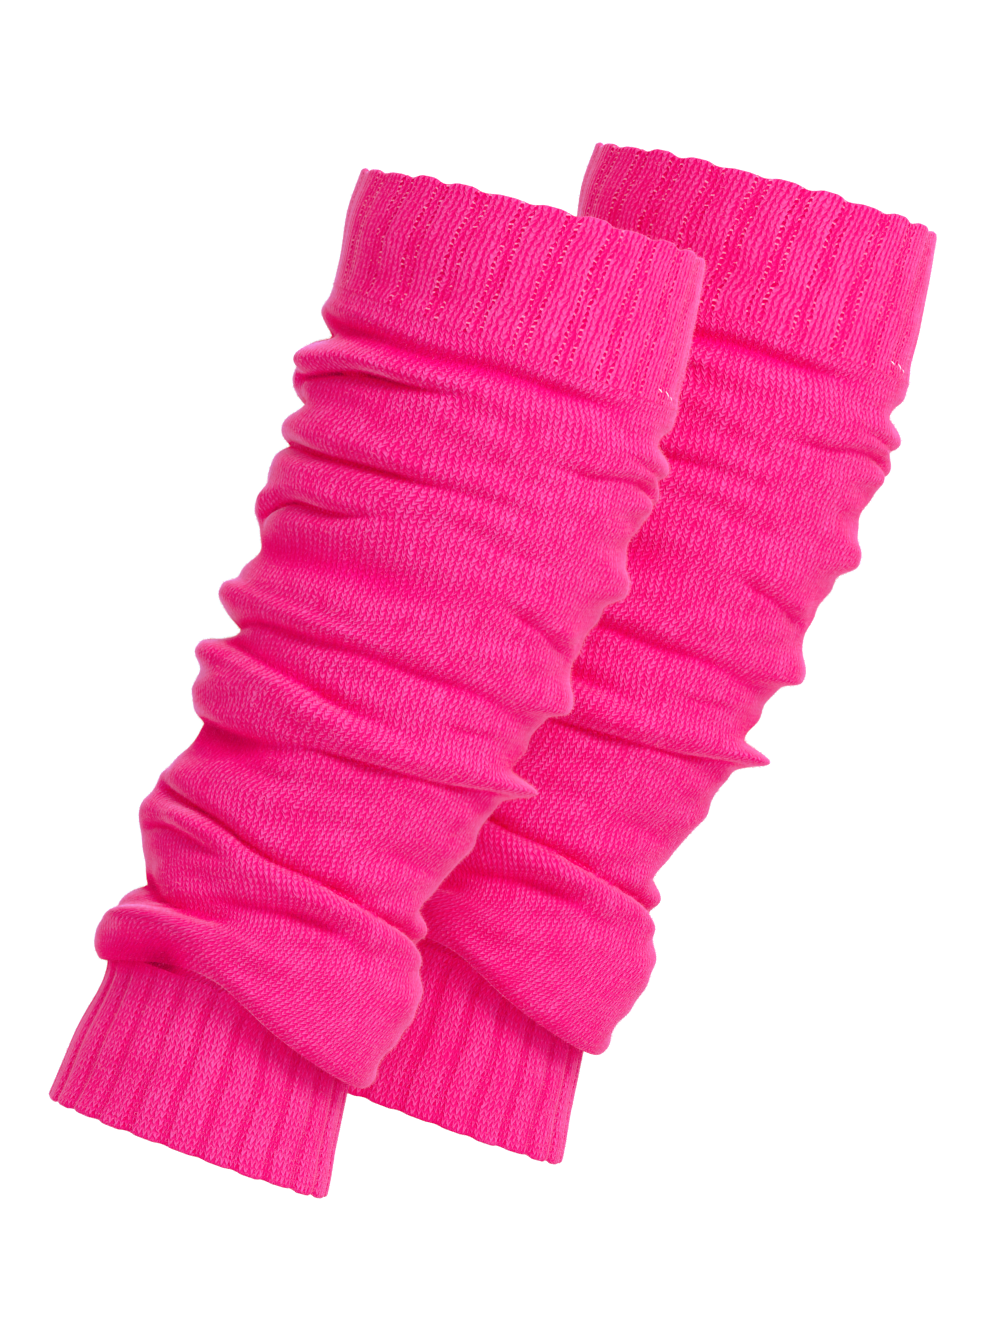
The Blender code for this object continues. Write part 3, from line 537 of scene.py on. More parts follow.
def cuff_face(cuff, low, high):
    """A cuff's outer face: rows of points from its lower edge to its upper one, whose heights are
    given by the angle, with the wale that each lies on and how much painted shade it has in a
    groove."""
    angle, wale, groove, furrow = rib_columns(cuff)
    turn = np.radians(angle)
    random = np.random.default_rng(cuff.seed)
    lobe = (1.0 - groove) * np.repeat(random.uniform(*RIB_LOBES, RIBS), CUFF_COLUMNS_PER_RIB)
    lowest = low(turn) - cuff.low_lobe * lobe
    highest = high(turn) + cuff.high_lobe * lobe
    count = int(np.mean(highest - lowest) / CUFF_ROW)
    level = np.linspace(0.0, 1.0, count)[:, None]
    height = lowest + (highest - lowest) * level
    from_low = smooth_step((height - lowest) / RIB_FADE) if cuff.fades_low else 1.0
    from_high = smooth_step((highest - height) / RIB_FADE) if cuff.fades_high else 1.0
    ribbed = from_low * from_high
    sway = ripples(angle, height, cuff.seed, RIBS_SWAY)
    twisted = cuff.twist[0] + (cuff.twist[1] - cuff.twist[0]) * level
    uneven = ripples(angle, height, cuff.seed + 1, CUFF_BUMPS)
    pushed = uneven * ribbed - cuff.depth * groove * ribbed - WALE_DEPTH * furrow * ribbed
    points = girth_point(angle + twisted + sway * ribbed, height, height, pushed)
    return points, np.broadcast_to(wale, height.shape), cuff.shade * groove * ribbed


# ---------------------------------------------------------------- meshes
def put_in_scene(name, data):
    """A new object that holds this mesh, lamp or camera."""
    thing = bpy.data.objects.new(name, data)
    bpy.context.scene.collection.objects.link(thing)
    return thing


def set_upright(points, offset):
    """Local millimetres to metres in the part's own frame."""
    lean = math.radians(LEAN)
    x, y, z = points[..., 0], points[..., 1], points[..., 2]
    placed = np.stack([x * math.cos(lean) + z * math.sin(lean) + offset[0],
                       y + offset[1],
                       z * math.cos(lean) - x * math.sin(lean) + offset[2]], axis=-1)
    return placed * MM


# In a ring, deep is the painted shade of each point, from creases, grooves and the lowest fold's
# underside
Ring = namedtuple("Ring", "points wale course inside deep")
FACE_SOFTENING = 3        # before its normals are taken
INSIDE_SOFTENING = 4


def wall_rings(face, wale, deep, wall, course, rounds_low, rounds_high, inner_rows):
    """Rings of a wall's whole section: up its outside, round the upper edge, down its inside
    with half the columns, and round the lower edge."""
    steps = np.linalg.norm(np.diff(face, axis=0), axis=-1)
    length = np.concatenate([np.zeros((1, face.shape[1])), np.cumsum(steps, axis=0)])
    total = np.mean(length[-1])
    courses = length / length[-1] * total / course
    rings = [Ring(face[row], wale[row], courses[row], False, deep[row])
             for row in range(len(face))]
    inner = face - face_normals(softened(face, FACE_SOFTENING)) * wall
    inner = softened(inner, INSIDE_SOFTENING)

    def edge(row, rounded):
        """Rings of a rounded edge from the outer face to the inner one."""
        if not rounded:
            return []
        middle = 0.5 * (face[row] + inner[row])
        half = 0.5 * (face[row] - inner[row])
        beyond = face[row] - face[row - 1 if row else 1]
        beyond = beyond / np.linalg.norm(beyond, axis=-1, keepdims=True)
        beyond = beyond * np.linalg.norm(half, axis=-1, keepdims=True)
        rings = []
        for step in range(1, RIM_STEPS):
            turn = math.pi * step / RIM_STEPS
            points = middle + half * math.cos(turn) + beyond * math.sin(turn)
            further = ROUND_RIM * turn / course
            rings.append(Ring(points, wale[row], courses[row] + (further if row else -further),
                              False, deep[row]))
        return rings

    rings += edge(len(face) - 1, rounds_high)
    for row in inner_rows[::-1]:
        rings.append(Ring(inner[row][::2], wale[row][::2], courses[row][::2], True,
                          deep[row][::2]))
    rings += edge(0, rounds_low)[::-1]
    return rings


def faces_between(count_here, count_there):
    """Which corners the faces between two rings have, as pairs of a ring, 0 or 1, and a column
    of it. The second ring has as many columns as the first, half as many or twice as many."""
    column = np.arange(min(count_here, count_there))
    if count_here == count_there:
        return [((0, column), (0, column + 1), (1, column + 1), (1, column))]
    if count_here > count_there:
        return [((0, 2 * column), (0, 2 * column + 1), (1, column)),
                ((0, 2 * column + 1), (1, column + 1), (1, column)),
                ((0, 2 * column + 1), (0, 2 * column + 2), (1, column + 1))]
    return [((0, column), (1, 2 * column + 1), (1, 2 * column)),
            ((0, column), (0, column + 1), (1, 2 * column + 1)),
            ((0, column + 1), (1, 2 * column + 2), (1, 2 * column + 1))]


def loft(name, rings, offset, materials):
    """A closed wall through its rings, with its stitch map and its painted shade in creases."""
    counts = [len(ring.points) for ring in rings]
    starts = np.concatenate([[0], np.cumsum(counts)])
    corners, sizes, maps, inside = [], [], [], []

    def knit_map(ring, column):
        turned, place = np.divmod(column, len(ring.points))
        return np.stack([ring.wale[place] + turned * WALES, ring.course[place]], axis=-1)

    for number, ring in enumerate(rings):
        beside = (number + 1) % len(rings)
        pair = (ring, rings[beside])
        pair_starts = (starts[number], starts[beside])
        for plan in faces_between(counts[number], counts[beside]):
            index = [pair_starts[which] + column % len(pair[which].points)
                     for which, column in plan]
            place = [knit_map(pair[which], column) for which, column in plan]
            faces = np.stack(index, axis=-1)
            corners.append(faces.ravel())
            sizes.append(np.full(len(faces), faces.shape[1]))
            maps.append(np.stack(place, axis=1).reshape(-1, 2))
            inside.append(np.full(len(faces), pair[0].inside and pair[1].inside))
    points = set_upright(np.concatenate([ring.points for ring in rings]), offset)
    painted_shades = np.concatenate([ring.deep for ring in rings])
    corners, sizes = np.concatenate(corners), np.concatenate(sizes)
    maps, inside = np.concatenate(maps), np.concatenate(inside)
    mesh = bpy.data.meshes.new(name)
    mesh.vertices.add(len(points))
    mesh.vertices.foreach_set("co", points.astype(np.float32).ravel())
    mesh.loops.add(len(corners))
    mesh.loops.foreach_set("vertex_index", corners.astype(np.int32))
    mesh.polygons.add(len(sizes))
    mesh.polygons.foreach_set("loop_start", (np.cumsum(sizes) - sizes).astype(np.int32))
    mesh.polygons.foreach_set("material_index", inside.astype(np.int32))
    mesh.update(calc_edges=True)
    mesh.uv_layers.new(name="knit").uv.foreach_set("vector", maps.astype(np.float32).ravel())
    # Painted shade of each point, from creases, the cuffs' grooves and under the lowest fold
    crease = mesh.attributes.new("crease", "FLOAT", "POINT")
    crease.data.foreach_set("value", painted_shades.astype(np.float32))
    outside = mesh.attributes.new("outside", "FLOAT", "FACE")
    outside.data.foreach_set("value", 1.0 - inside.astype(np.float32))
    mesh.validate()
    mesh.shade_smooth()
    mesh.set_sharp_from_angle(angle=math.radians(CORNER))
    for material in materials:
        mesh.materials.append(material)
    return put_in_scene(name, mesh)


# ---------------------------------------------------------------- materials
def colour(hex_code):
    """A colour given as sRGB hex, as the shader needs it."""
    parts = [int(hex_code[place:place + 2], 16) / 255.0 for place in (1, 3, 5)]
    return tuple(((part + 0.055) / 1.055) ** 2.4 if part > 0.04045 else part / 12.92
                 for part in parts) + (1.0,)


def bare_tree(holder):
    """The emptied node tree of a new material or world."""
    holder.use_nodes = True
    holder.node_tree.nodes.clear()
    return holder.node_tree


def add_node(tree, kind, inputs=(), **settings):
    """One node with its settings, and its inputs as pairs of a socket and a value or link."""
    node = tree.nodes.new(kind)
    for setting, value in settings.items():
        setattr(node, setting, value)
    for socket, value in inputs:
        if isinstance(value, bpy.types.NodeSocket):
            tree.links.new(value, node.inputs[socket])
        else:
            node.inputs[socket].default_value = value
    return node


# One step of a calculation, and whether its result is kept between 0 and 1
Sum = namedtuple("Sum", "name operation first second third clamped", defaults=(0.0, 0.0, False))


def work_out(tree, known, sums):
    """Adds the sums one after another; each reads numbers or what was worked out before."""
    for row in sums:
        inputs = [(place, known[value] if isinstance(value, str) else value)
                  for place, value in enumerate((row.first, row.second, row.third))]
        known[row.name] = add_node(tree, "ShaderNodeMath", inputs, operation=row.operation,
                                   use_clamp=row.clamped).outputs[0]


# Unevenness in the knitting, in waves to a metre
SLIP_WAVES = 110.0        # wales and courses run out of line over 9 mm
STITCH_WAVES = 420.0      # single stitches differ over 2.4 mm
FIBRE_WAVES = 1900.0      # tufts of fibre, 0.5 mm, coarser than real ones so that they show
DYE_WAVES = 30.0          # the dye takes more and less over 33 mm
THREAD_WAVES = 300.0      # thread and loose fibres, over 3 mm
YARN_WAVES = 0.9          # the yarn's own light and dark, in waves to a wale,
YARN_LASTS = 0.16         # which last six times as long up a wale

STITCH_SLIPS = 0.7        # range over which a stitch slips sideways, in wales,
STITCH_RISES = 0.8        # and up and down, in courses
FURROW_FLOOR = 0.04       # share of a half wale that is the bottom of a furrow
FURROW_SIDE = 0.66        # and the share that is its side
YARN_SHADES = 0.8         # how much the yarn's light and dark show,
SLIP_SHADES = 0.5         # and those of loose and tight places
FUZZ_SHADES = 0.34        # and those of the fibres
LAMP_SIDE_CUT = 0.65          # on the right, the lamp's side, the painted sheen, elastic dots and eyelets are weaker by this share

# Both cuffs have a row of eyelets along each side of a groove
EYELET_REACH = 0.24       # half an eyelet's width, in wales
EYELET_STARTS = 0.1       # an eyelet opens where the stitch swings past this,
EYELET_SIDES = 2.2        # and this fast
EYELET_PATCH = 0.40       # they are drawn closed in patches, at less slip than this,
PATCH_SIDES = 6.0         # and this much further open for each bit more of it,
EYELET_LEAST = 0.15       # but never less than this share
DOT_STARTS = 0.72         # elastic shows between two eyelets, past this swing
DOT_SIDES = 5.0
DOT_SHOWS = 0.6           # covered by the yarn's fibres but for this share

# A painted sheen: a pale colour mixed in where a knitted face turns away from the view, for the
# light that its standing fibres catch there
HAZE_STEEPNESS = 6.0
HAZE_BASE = 0.48
HAZE_FROM_STITCH = 1.1
HAZE_FROM_FIBRE = 1.8
HAZE_FROM_SLIP = 1.2
HAZE_LEAST = 0.1

# How much shows of three other colours: the painted shade in a crease, the painted darkest line at
# its bottom, and the yarn's middle colour where the dye took evenly. Each is read from something,
# from none of it at "low" to the most of it at "high".
Shade = namedtuple("Shade", "name source low high most")
SHADES = (
    Shade("sunk", source="crease", low=0.1, high=1.0, most=0.9),
    Shade("pit", source="crease", low=1.0, high=2.0, most=0.9),
    Shade("dyed", source="patches", low=0.3, high=0.7, most=0.18),
)

# The look of a knitting: its yarn's deep, middle and light colours and the two colours of its
# painted crease shade; how many wales it runs out of line by; by how many courses a strand slants
# over half a wale; how deep its beads are; its relief in millimetres; how light its furrows are;
# whether it is ribbed and shows its elastic; and how much darker its purl wales are drawn, as
# painted shade in the grooves
Knit = namedtuple("Knit", "name yarn hollow slip slant bead bump furrow ribbed elastic purl_sink")


def stitch_sums(knit):
    """How high and light the yarn is at each place of a stitch. A stitch is a V of two strands, its
    point down. "side" is 0 in the furrow between two wales and 1 in the middle of one, "arm" the
    strands' rise between them, and "strand" the bead that each course makes of them. The last sums
    weaken the painted sheen, the elastic dots and the eyelets on the right, the lamp's side."""
    return [
        Sum("slow_even", "SUBTRACT", "slow", 0.5),
        Sum("quick_even", "SUBTRACT", "quick", 0.5),
        Sum("u_slow", "MULTIPLY_ADD", "slow_even", knit.slip, "wale"),
        Sum("u", "MULTIPLY_ADD", "quick_even", STITCH_SLIPS, "u_slow"),
        Sum("v", "MULTIPLY_ADD", "quick_even", STITCH_RISES, "course"),
        Sum("half", "PINGPONG", "u", 0.5),
        Sum("side", "MULTIPLY", "half", 2.0),
        Sum("rise", "SUBTRACT", "side", FURROW_FLOOR),
        Sum("risen", "DIVIDE", "rise", FURROW_SIDE, clamped=True),
        Sum("arm", "MULTIPLY_ADD", "risen", 1.0 - knit.furrow, knit.furrow),
        Sum("phase", "MULTIPLY_ADD", "side", knit.slant, "v"),
        Sum("turned", "MULTIPLY", "phase", 2.0 * math.pi),
        Sum("swing", "COSINE", "turned"),
        Sum("strand", "MULTIPLY_ADD", "swing", 0.5 * knit.bead, 1.0 - 0.5 * knit.bead),
        Sum("yarn_even", "SUBTRACT", "strands", 0.5),
        Sum("yarn_tone", "MULTIPLY_ADD", "yarn_even", YARN_SHADES, 1.0),
        Sum("lit", "MULTIPLY_ADD", "slow_even", SLIP_SHADES, "yarn_tone"),
        Sum("arm_lit", "MULTIPLY", "arm", "lit"),
        Sum("knit", "MULTIPLY", "arm_lit", "strand"),
        # Painted light: the lamp is at the right, so there the painted sheen, elastic dots and
        # eyelets are weaker
        Sum("round_leg", "MULTIPLY", "wale", 2.0 * math.pi / WALES),
        Sum("to_left", "SINE", "round_leg"),
        Sum("to_right", "MINIMUM", "to_left", 0.0),
        Sum("pile", "MULTIPLY_ADD", "to_right", LAMP_SIDE_CUT, 1.0),
    ]


def rib_sums(knit):
    """Darkens the purl wales as painted shade in the rib's grooves, and draws a row of eyelets
    along each side of them, dark as painted shade through the holes. "row" is 1 in such a row, and
    "row_swing" rises and falls once a course."""
    return [
        Sum("in_rib", "FLOORED_MODULO", "u", float(WALES_PER_RIB)),
        Sum("near_start", "PINGPONG", "u", WALES_PER_RIB / 2.0),
        Sum("start_row", "LESS_THAN", "near_start", EYELET_REACH),
        Sum("past_purl", "SUBTRACT", "u", float(PURL_WALES)),
        Sum("near_end", "PINGPONG", "past_purl", WALES_PER_RIB / 2.0),
        Sum("end_row", "LESS_THAN", "near_end", EYELET_REACH),
        Sum("row", "MAXIMUM", "start_row", "end_row"),
        Sum("up_row", "MULTIPLY", "v", 2.0 * math.pi),
        Sum("row_swing", "SINE", "up_row"),
        Sum("past_start", "SUBTRACT", "row_swing", EYELET_STARTS),
        Sum("opened", "MULTIPLY", "past_start", EYELET_SIDES, clamped=True),
        Sum("eyelets", "MULTIPLY", "opened", "row"),
        Sum("patch", "SUBTRACT", "slow", EYELET_PATCH),
        Sum("patch_steep", "MULTIPLY", "patch", PATCH_SIDES),
        Sum("patch_least", "MAXIMUM", "patch_steep", EYELET_LEAST),
        Sum("patch_open", "MINIMUM", "patch_least", 1.0),
        Sum("eyelet", "MULTIPLY", "eyelets", "patch_open"),
        Sum("no_eyelet", "SUBTRACT", 1.0, "eyelet"),
        Sum("purl", "LESS_THAN", "in_rib", float(PURL_WALES)),
        Sum("sunk_purl", "MULTIPLY_ADD", "purl", -knit.purl_sink, "knit"),
        Sum("knit", "MULTIPLY", "sunk_purl", "no_eyelet"),
    ]


FUZZ_SUMS = [
    Sum("fluffy", "MULTIPLY_ADD", "fibres", FUZZ_SHADES, "knit"),
    Sum("tone", "SUBTRACT", "fluffy", 0.5 * FUZZ_SHADES),
]
ELASTIC_SUMS = [
    Sum("between", "MULTIPLY", "row_swing", -1.0),
    Sum("past_dot", "SUBTRACT", "between", DOT_STARTS),
    Sum("bare", "MULTIPLY", "past_dot", DOT_SIDES, clamped=True),
    Sum("dots", "MULTIPLY", "bare", "row"),
    Sum("some", "GREATER_THAN", "quick", 0.5),
    Sum("dot", "MULTIPLY", "dots", "some"),
    Sum("dot_seen", "MULTIPLY", "dot", DOT_SHOWS),
    Sum("pale", "MULTIPLY", "dot_seen", "pile"),
    Sum("dark", "MULTIPLY", "eyelet", "pile"),
]
# Painted sheen at the edges where the face turns away, patchy with the fibres and less in creases
HAZE_SUMS = [
    Sum("steep", "POWER", "edge_on", HAZE_STEEPNESS),
    Sum("fibre_even", "SUBTRACT", "fibres", 0.5),
    Sum("tufts", "MULTIPLY_ADD", "fluffy", HAZE_FROM_STITCH, HAZE_BASE),
    Sum("fine_tufts", "MULTIPLY_ADD", "fibre_even", HAZE_FROM_FIBRE, "tufts"),
    Sum("all_tufts", "MULTIPLY_ADD", "quick_even", HAZE_FROM_SLIP, "fine_tufts"),
    Sum("tufted", "MAXIMUM", "all_tufts", HAZE_LEAST),
    Sum("all_haze", "MULTIPLY", "steep", "tufted"),
    Sum("open", "SUBTRACT", 1.0, "sunk"),
    Sum("open_haze", "MULTIPLY", "all_haze", "open"),
    Sum("haze", "MULTIPLY", "open_haze", "pile"),
]


def knit_pattern(tree, knit):
    """All that is known of each place of a knitting, by name. The pattern follows the stitch
    map, so that the folds drag it along."""
    place = add_node(tree, "ShaderNodeUVMap", uv_map="knit").outputs["UV"]
    stitch = add_node(tree, "ShaderNodeSeparateXYZ", [(0, place)])
    where = add_node(tree, "ShaderNodeTexCoord").outputs["Object"]
    known = {"wale": stitch.outputs["X"], "course": stitch.outputs["Y"]}
    work_out(tree, known, [Sum("course_slow", "MULTIPLY", "course", YARN_LASTS)])
    along = add_node(tree, "ShaderNodeCombineXYZ",
                     [("X", known["wale"]), ("Y", known["course_slow"])]).outputs[0]
    for name, vector, waves, detail, roughness in (
            ("slow", where, SLIP_WAVES, 1.0, 0.5), ("quick", where, STITCH_WAVES, 1.0, 0.5),
            ("fibres", where, FIBRE_WAVES, 2.0, 0.6), ("patches", where, DYE_WAVES, 2.0, 0.5),
            ("strands", along, YARN_WAVES, 1.0, 0.5)):
        known[name] = add_node(tree, "ShaderNodeTexNoise",
                               [("Vector", vector), ("Scale", waves), ("Detail", detail),
                                ("Roughness", roughness)]).outputs[0]
    work_out(tree, known, stitch_sums(knit))
    if knit.ribbed:
        work_out(tree, known, rib_sums(knit))
    work_out(tree, known, FUZZ_SUMS)
    # Painted shade, as the crease attribute holds it
    known["crease"] = add_node(tree, "ShaderNodeAttribute",
                               attribute_name="crease").outputs["Fac"]
    known["edge_on"] = add_node(tree, "ShaderNodeLayerWeight",
                                [("Blend", 0.5)]).outputs["Facing"]
    for shade in SHADES:
        known[shade.name] = add_node(tree, "ShaderNodeMapRange",
                                     [("Value", known[shade.source]), ("From Min", shade.low),
                                      ("From Max", shade.high),
                                      ("To Max", shade.most)]).outputs[0]
    if knit.elastic:
        work_out(tree, known, ELASTIC_SUMS)
    work_out(tree, known, HAZE_SUMS)
    return known


def knit_material(knit):
    """Machine-knitted acrylic, brushed: no gloss, and light strands over deeper furrows, partly
    painted highlight and painted shade. Creases get painted shade, and the edge where the face
    turns away a painted sheen."""
    material = bpy.data.materials.new(knit.name)
    tree = bare_tree(material)
    known = knit_pattern(tree, knit)
    deep, middle, light = knit.yarn
    ramp = add_node(tree, "ShaderNodeValToRGB", [("Fac", known["tone"])])
    stops = ramp.color_ramp.elements
    stops[0].position, stops[0].color = 0.0, colour(deep)
    stops[1].position, stops[1].color = 1.0, colour(light)
    centre = stops.new(MIDDLE_TONE)
    centre.color = colour(middle)
    deepest, crease_shade_light = knit.hollow
    hollow = add_node(tree, "ShaderNodeMix", [(0, known["tone"]), (6, colour(deepest)),
                                              (7, colour(crease_shade_light))], data_type="RGBA")
    # Over the yarn: painted crease shade, the painted darkest line, patches of even dye, the
    # elastic, the eyelets drawn dark as painted shade, and the painted sheen
    layers = [("sunk", hollow.outputs[2]), ("pit", colour(PAINTED_PIT_COLOUR)), ("dyed", colour(middle))]
    if knit.elastic:
        layers += [("pale", colour(ELASTIC_COLOUR)), ("dark", colour(EYELET_COLOUR))]
    layers.append(("haze", colour(PAINTED_SHEEN_COLOUR)))
    shown = ramp.outputs["Color"]
    for share, tint in layers:
        shown = add_node(tree, "ShaderNodeMix", [(0, known[share]), (6, shown), (7, tint)],
                         data_type="RGBA").outputs[2]
    raised = add_node(tree, "ShaderNodeBump", [("Height", known["fluffy"]), ("Strength", 1.0),
                                               ("Distance", knit.bump * MM)])
    shader = add_node(tree, "ShaderNodeBsdfPrincipled",
                      [("Base Color", shown), ("Roughness", 0.92), ("Specular IOR Level", 0.0),
                       ("Normal", raised.outputs[0])])
    add_node(tree, "ShaderNodeOutputMaterial", [("Surface", shader.outputs[0])])
    return material


def thread_material(name, darker, lighter, roughness):
    """Single fibres and thread, too thin to show more than their own light and dark."""
    material = bpy.data.materials.new(name)
    tree = bare_tree(material)
    where = add_node(tree, "ShaderNodeTexCoord").outputs["Object"]
    speckle = add_node(tree, "ShaderNodeTexNoise", [("Vector", where), ("Scale", THREAD_WAVES)])
    shades = add_node(tree, "ShaderNodeMix", [(0, speckle.outputs[0]), (6, colour(darker)),
                                              (7, colour(lighter))], data_type="RGBA")
    shader = add_node(tree, "ShaderNodeBsdfPrincipled",
                      [("Base Color", shades.outputs[2]), ("Roughness", roughness),
                       ("Specular IOR Level", 0.0)])
    add_node(tree, "ShaderNodeOutputMaterial", [("Surface", shader.outputs[0])])
    return material


# The yarn is hot pink, dyed deep. Its deep colour in the furrows is partly painted shade, and its
# light colour on the strands partly painted highlight. The crease colours are painted shade, redder
# than the rest, as light bounces from pink to pink in a crease.
YARN = ("#DC0E52", "#EC2270", "#F64AA8")
FLAT_YARN = ("#DC0E52", "#EA1E6C", "#F4449E")
CREASE_SHADE_COLOURS = ("#EC0052", "#FF1A7C")
# Inside the tube: the yarn's colours and its crease colours, painted redder and deeper as painted
# shade
INSIDE_YARN = ("#D80046", "#EC0058", "#F63A8A")
INSIDE_CREASE_SHADE_COLOURS = ("#D00038", "#E40048")
MIDDLE_TONE = 0.45        # where the middle colour lies between the deep and the light one
# The painted darkest line at a pinched crease's bottom
PAINTED_PIT_COLOUR = "#900038"
# Eyelets drawn dark: painted shade seen through the holes
EYELET_COLOUR = "#C80044"
ELASTIC_COLOUR = "#F2A4DC"          # the white elastic as seen through pink fibres
# The painted sheen's pale lilac
PAINTED_SHEEN_COLOUR = "#F492EE"

# Plain knit face: Vs in straight wales
jersey = knit_material(Knit(
    name="brushed_acrylic_jersey", yarn=YARN, hollow=CREASE_SHADE_COLOURS, slip=0.9, slant=0.9, bead=0.5,
    bump=0.6, furrow=0.42, ribbed=False, elastic=False, purl_sink=0.0))
# Rib stretched wide by the elastic knitted into its purl wales, which shows as pale dots between
# the eyelets; the wales lie flatter than in the leg
top_rib = knit_material(Knit(
    name="elasticated_acrylic_rib", yarn=FLAT_YARN, hollow=CREASE_SHADE_COLOURS, slip=1.0, slant=0.9, bead=0.36,
    bump=0.5, furrow=0.4, ribbed=True, elastic=True, purl_sink=0.12))
# The same rib with no elastic to be seen: fuller ribs between grooves darkened with painted shade
ankle_rib = knit_material(Knit(
    name="brushed_acrylic_rib", yarn=YARN, hollow=CREASE_SHADE_COLOURS, slip=0.7, slant=0.9, bead=0.5,
    bump=0.6, furrow=0.54, ribbed=True, elastic=False, purl_sink=0.1))
# Purl side, inside the tube: shallow arches instead of Vs, and painted redder, as painted shade,
# for only light bounced off pink reaches it
reverse = knit_material(Knit(
    name="acrylic_knit_reverse", yarn=INSIDE_YARN, hollow=INSIDE_CREASE_SHADE_COLOURS, slip=0.9, slant=-0.55,
    bead=0.8, bump=0.6, furrow=0.42, ribbed=False, elastic=False, purl_sink=0.0))
# Acrylic fibres pulled up by the brush, paler than the yarn because light passes through them
fuzz_material = thread_material("loose_acrylic_fibre", "#F84C9C", "#FF8CC8", 0.9)
# Elastic wound round with white thread: matt, and faintly violet beside the pink
elastic_material = thread_material("covered_elastic_thread", "#F0E4FF", "#FAF4FF", 0.7)


# ---------------------------------------------------------------- the two leg warmers
def build_leg(side, offset):
    """The plain leg, slouched, its lowest fold turned down over the ankle cuff."""
    face, wale, deep = leg_face(LEG_SEED)
    inner_rows = [*range(0, FLAP_ROWS, FLAP_ROW_SKIP), *range(FLAP_ROWS, LEG_ROWS, LEG_ROW_SKIP)]
    if inner_rows[-1] != LEG_ROWS - 1:
        inner_rows.append(LEG_ROWS - 1)
    wall = np.full((LEG_ROWS, 1, 1), KNIT_WALL)
    flap = np.linspace(0.0, FLAP_CLOTH, FLAP_ROWS, endpoint=False)
    wall[:FLAP_ROWS, 0, 0] -= FLAP_THINNER * bump((flap - EDGE_CLOTH) / FLAP_TURN, (1.0, 1.0))
    rings = wall_rings(face, wale, deep, wall, COURSE, False, False, inner_rows)
    return loft(side + "_slouched_leg", rings, offset, (jersey, reverse))


def loft_cuff(name, offset, cuff, face, wale, deep, knit):
    """A cuff's wall from its outer face. Its free edge, where its ribs run out, is rounded."""
    inner_rows = [*range(0, len(face) - 1, CUFF_ROW_SKIP), len(face) - 1]
    rings = wall_rings(face, wale, deep, CUFF_WALL, cuff.course, not cuff.fades_low,
                       not cuff.fades_high, inner_rows)
    return loft(name, rings, offset, (knit, reverse))


def top_rim(turn):
    """Height of the top edge, before its lobes."""
    return TOP_RIM + TOP_RIM_RISE * np.sin(turn) + TOP_RIM_CROWN * np.cos(turn) - EDGE_ROUNDING


def bottom_hem(turn):
    """Height of the bottom edge, before its lobes."""
    return HEM + HEM_CROWN * np.cos(turn) + EDGE_ROUNDING


def build_top_cuff(side, offset):
    """The wide ribbed cuff that grips the calf."""
    face, wale, deep = cuff_face(TOP_CUFF, lambda turn: np.full_like(turn, UPPER_SEAM), top_rim)
    return loft_cuff(side + "_ribbed_top", offset, TOP_CUFF, face, wale, deep, top_rib)


def build_ankle_cuff(side, offset):
    """The ribbed cuff at the ankle, in the lowest fold's shade at its top."""
    face, wale, deep = cuff_face(ANKLE_CUFF, bottom_hem,
                                 lambda turn: np.full_like(turn, LOWER_SEAM))
    angle = (rib_columns(ANKLE_CUFF)[0] + 180.0) % 360.0 - 180.0
    edge = smooth_table(HANGS, "angle", "edge", angle)
    height = face[..., 2] + GRIP_HEIGHT
    # Painted shade on the cuff under the lowest fold
    shade = FLAP_SHADE + FLAP_SHADE_MORE * smooth_table(HANGS, "angle", "shade", angle)
    deep = np.maximum(deep, shade * smooth_step((height - edge) / UNDER_FLAP + 1.0))
    return loft_cuff(side + "_ribbed_ankle", offset, ANKLE_CUFF, face, wale, deep, ankle_rib)


# ---------------------------------------------------------------- loose fibres
# Real ones are about 0.02 mm thick and many times as many. These are as thick as they have to
# be to show, and each is a single pointed blade.
FIBRES_PER_SQUARE_METRE = 1150000.0
FIBRE_LENGTH = 1.3
FIBRE_LENGTHS = (0.45, 1.35)        # shortest and longest, as shares of that
FIBRE_WIDTH = 0.05
FIBRE_LEAN = 0.7          # radians from straight up, at the most


def fibre_shape():
    """One tapering fibre a unit long and a unit wide, for copying."""
    mesh = bpy.data.meshes.new("fibre")
    mesh.from_pydata([(-0.5, 0.0, 0.0), (0.5, 0.0, 0.0), (0.0, 0.0, 1.0)], [], [(0, 1, 2)])
    return put_in_scene("fibre", mesh)


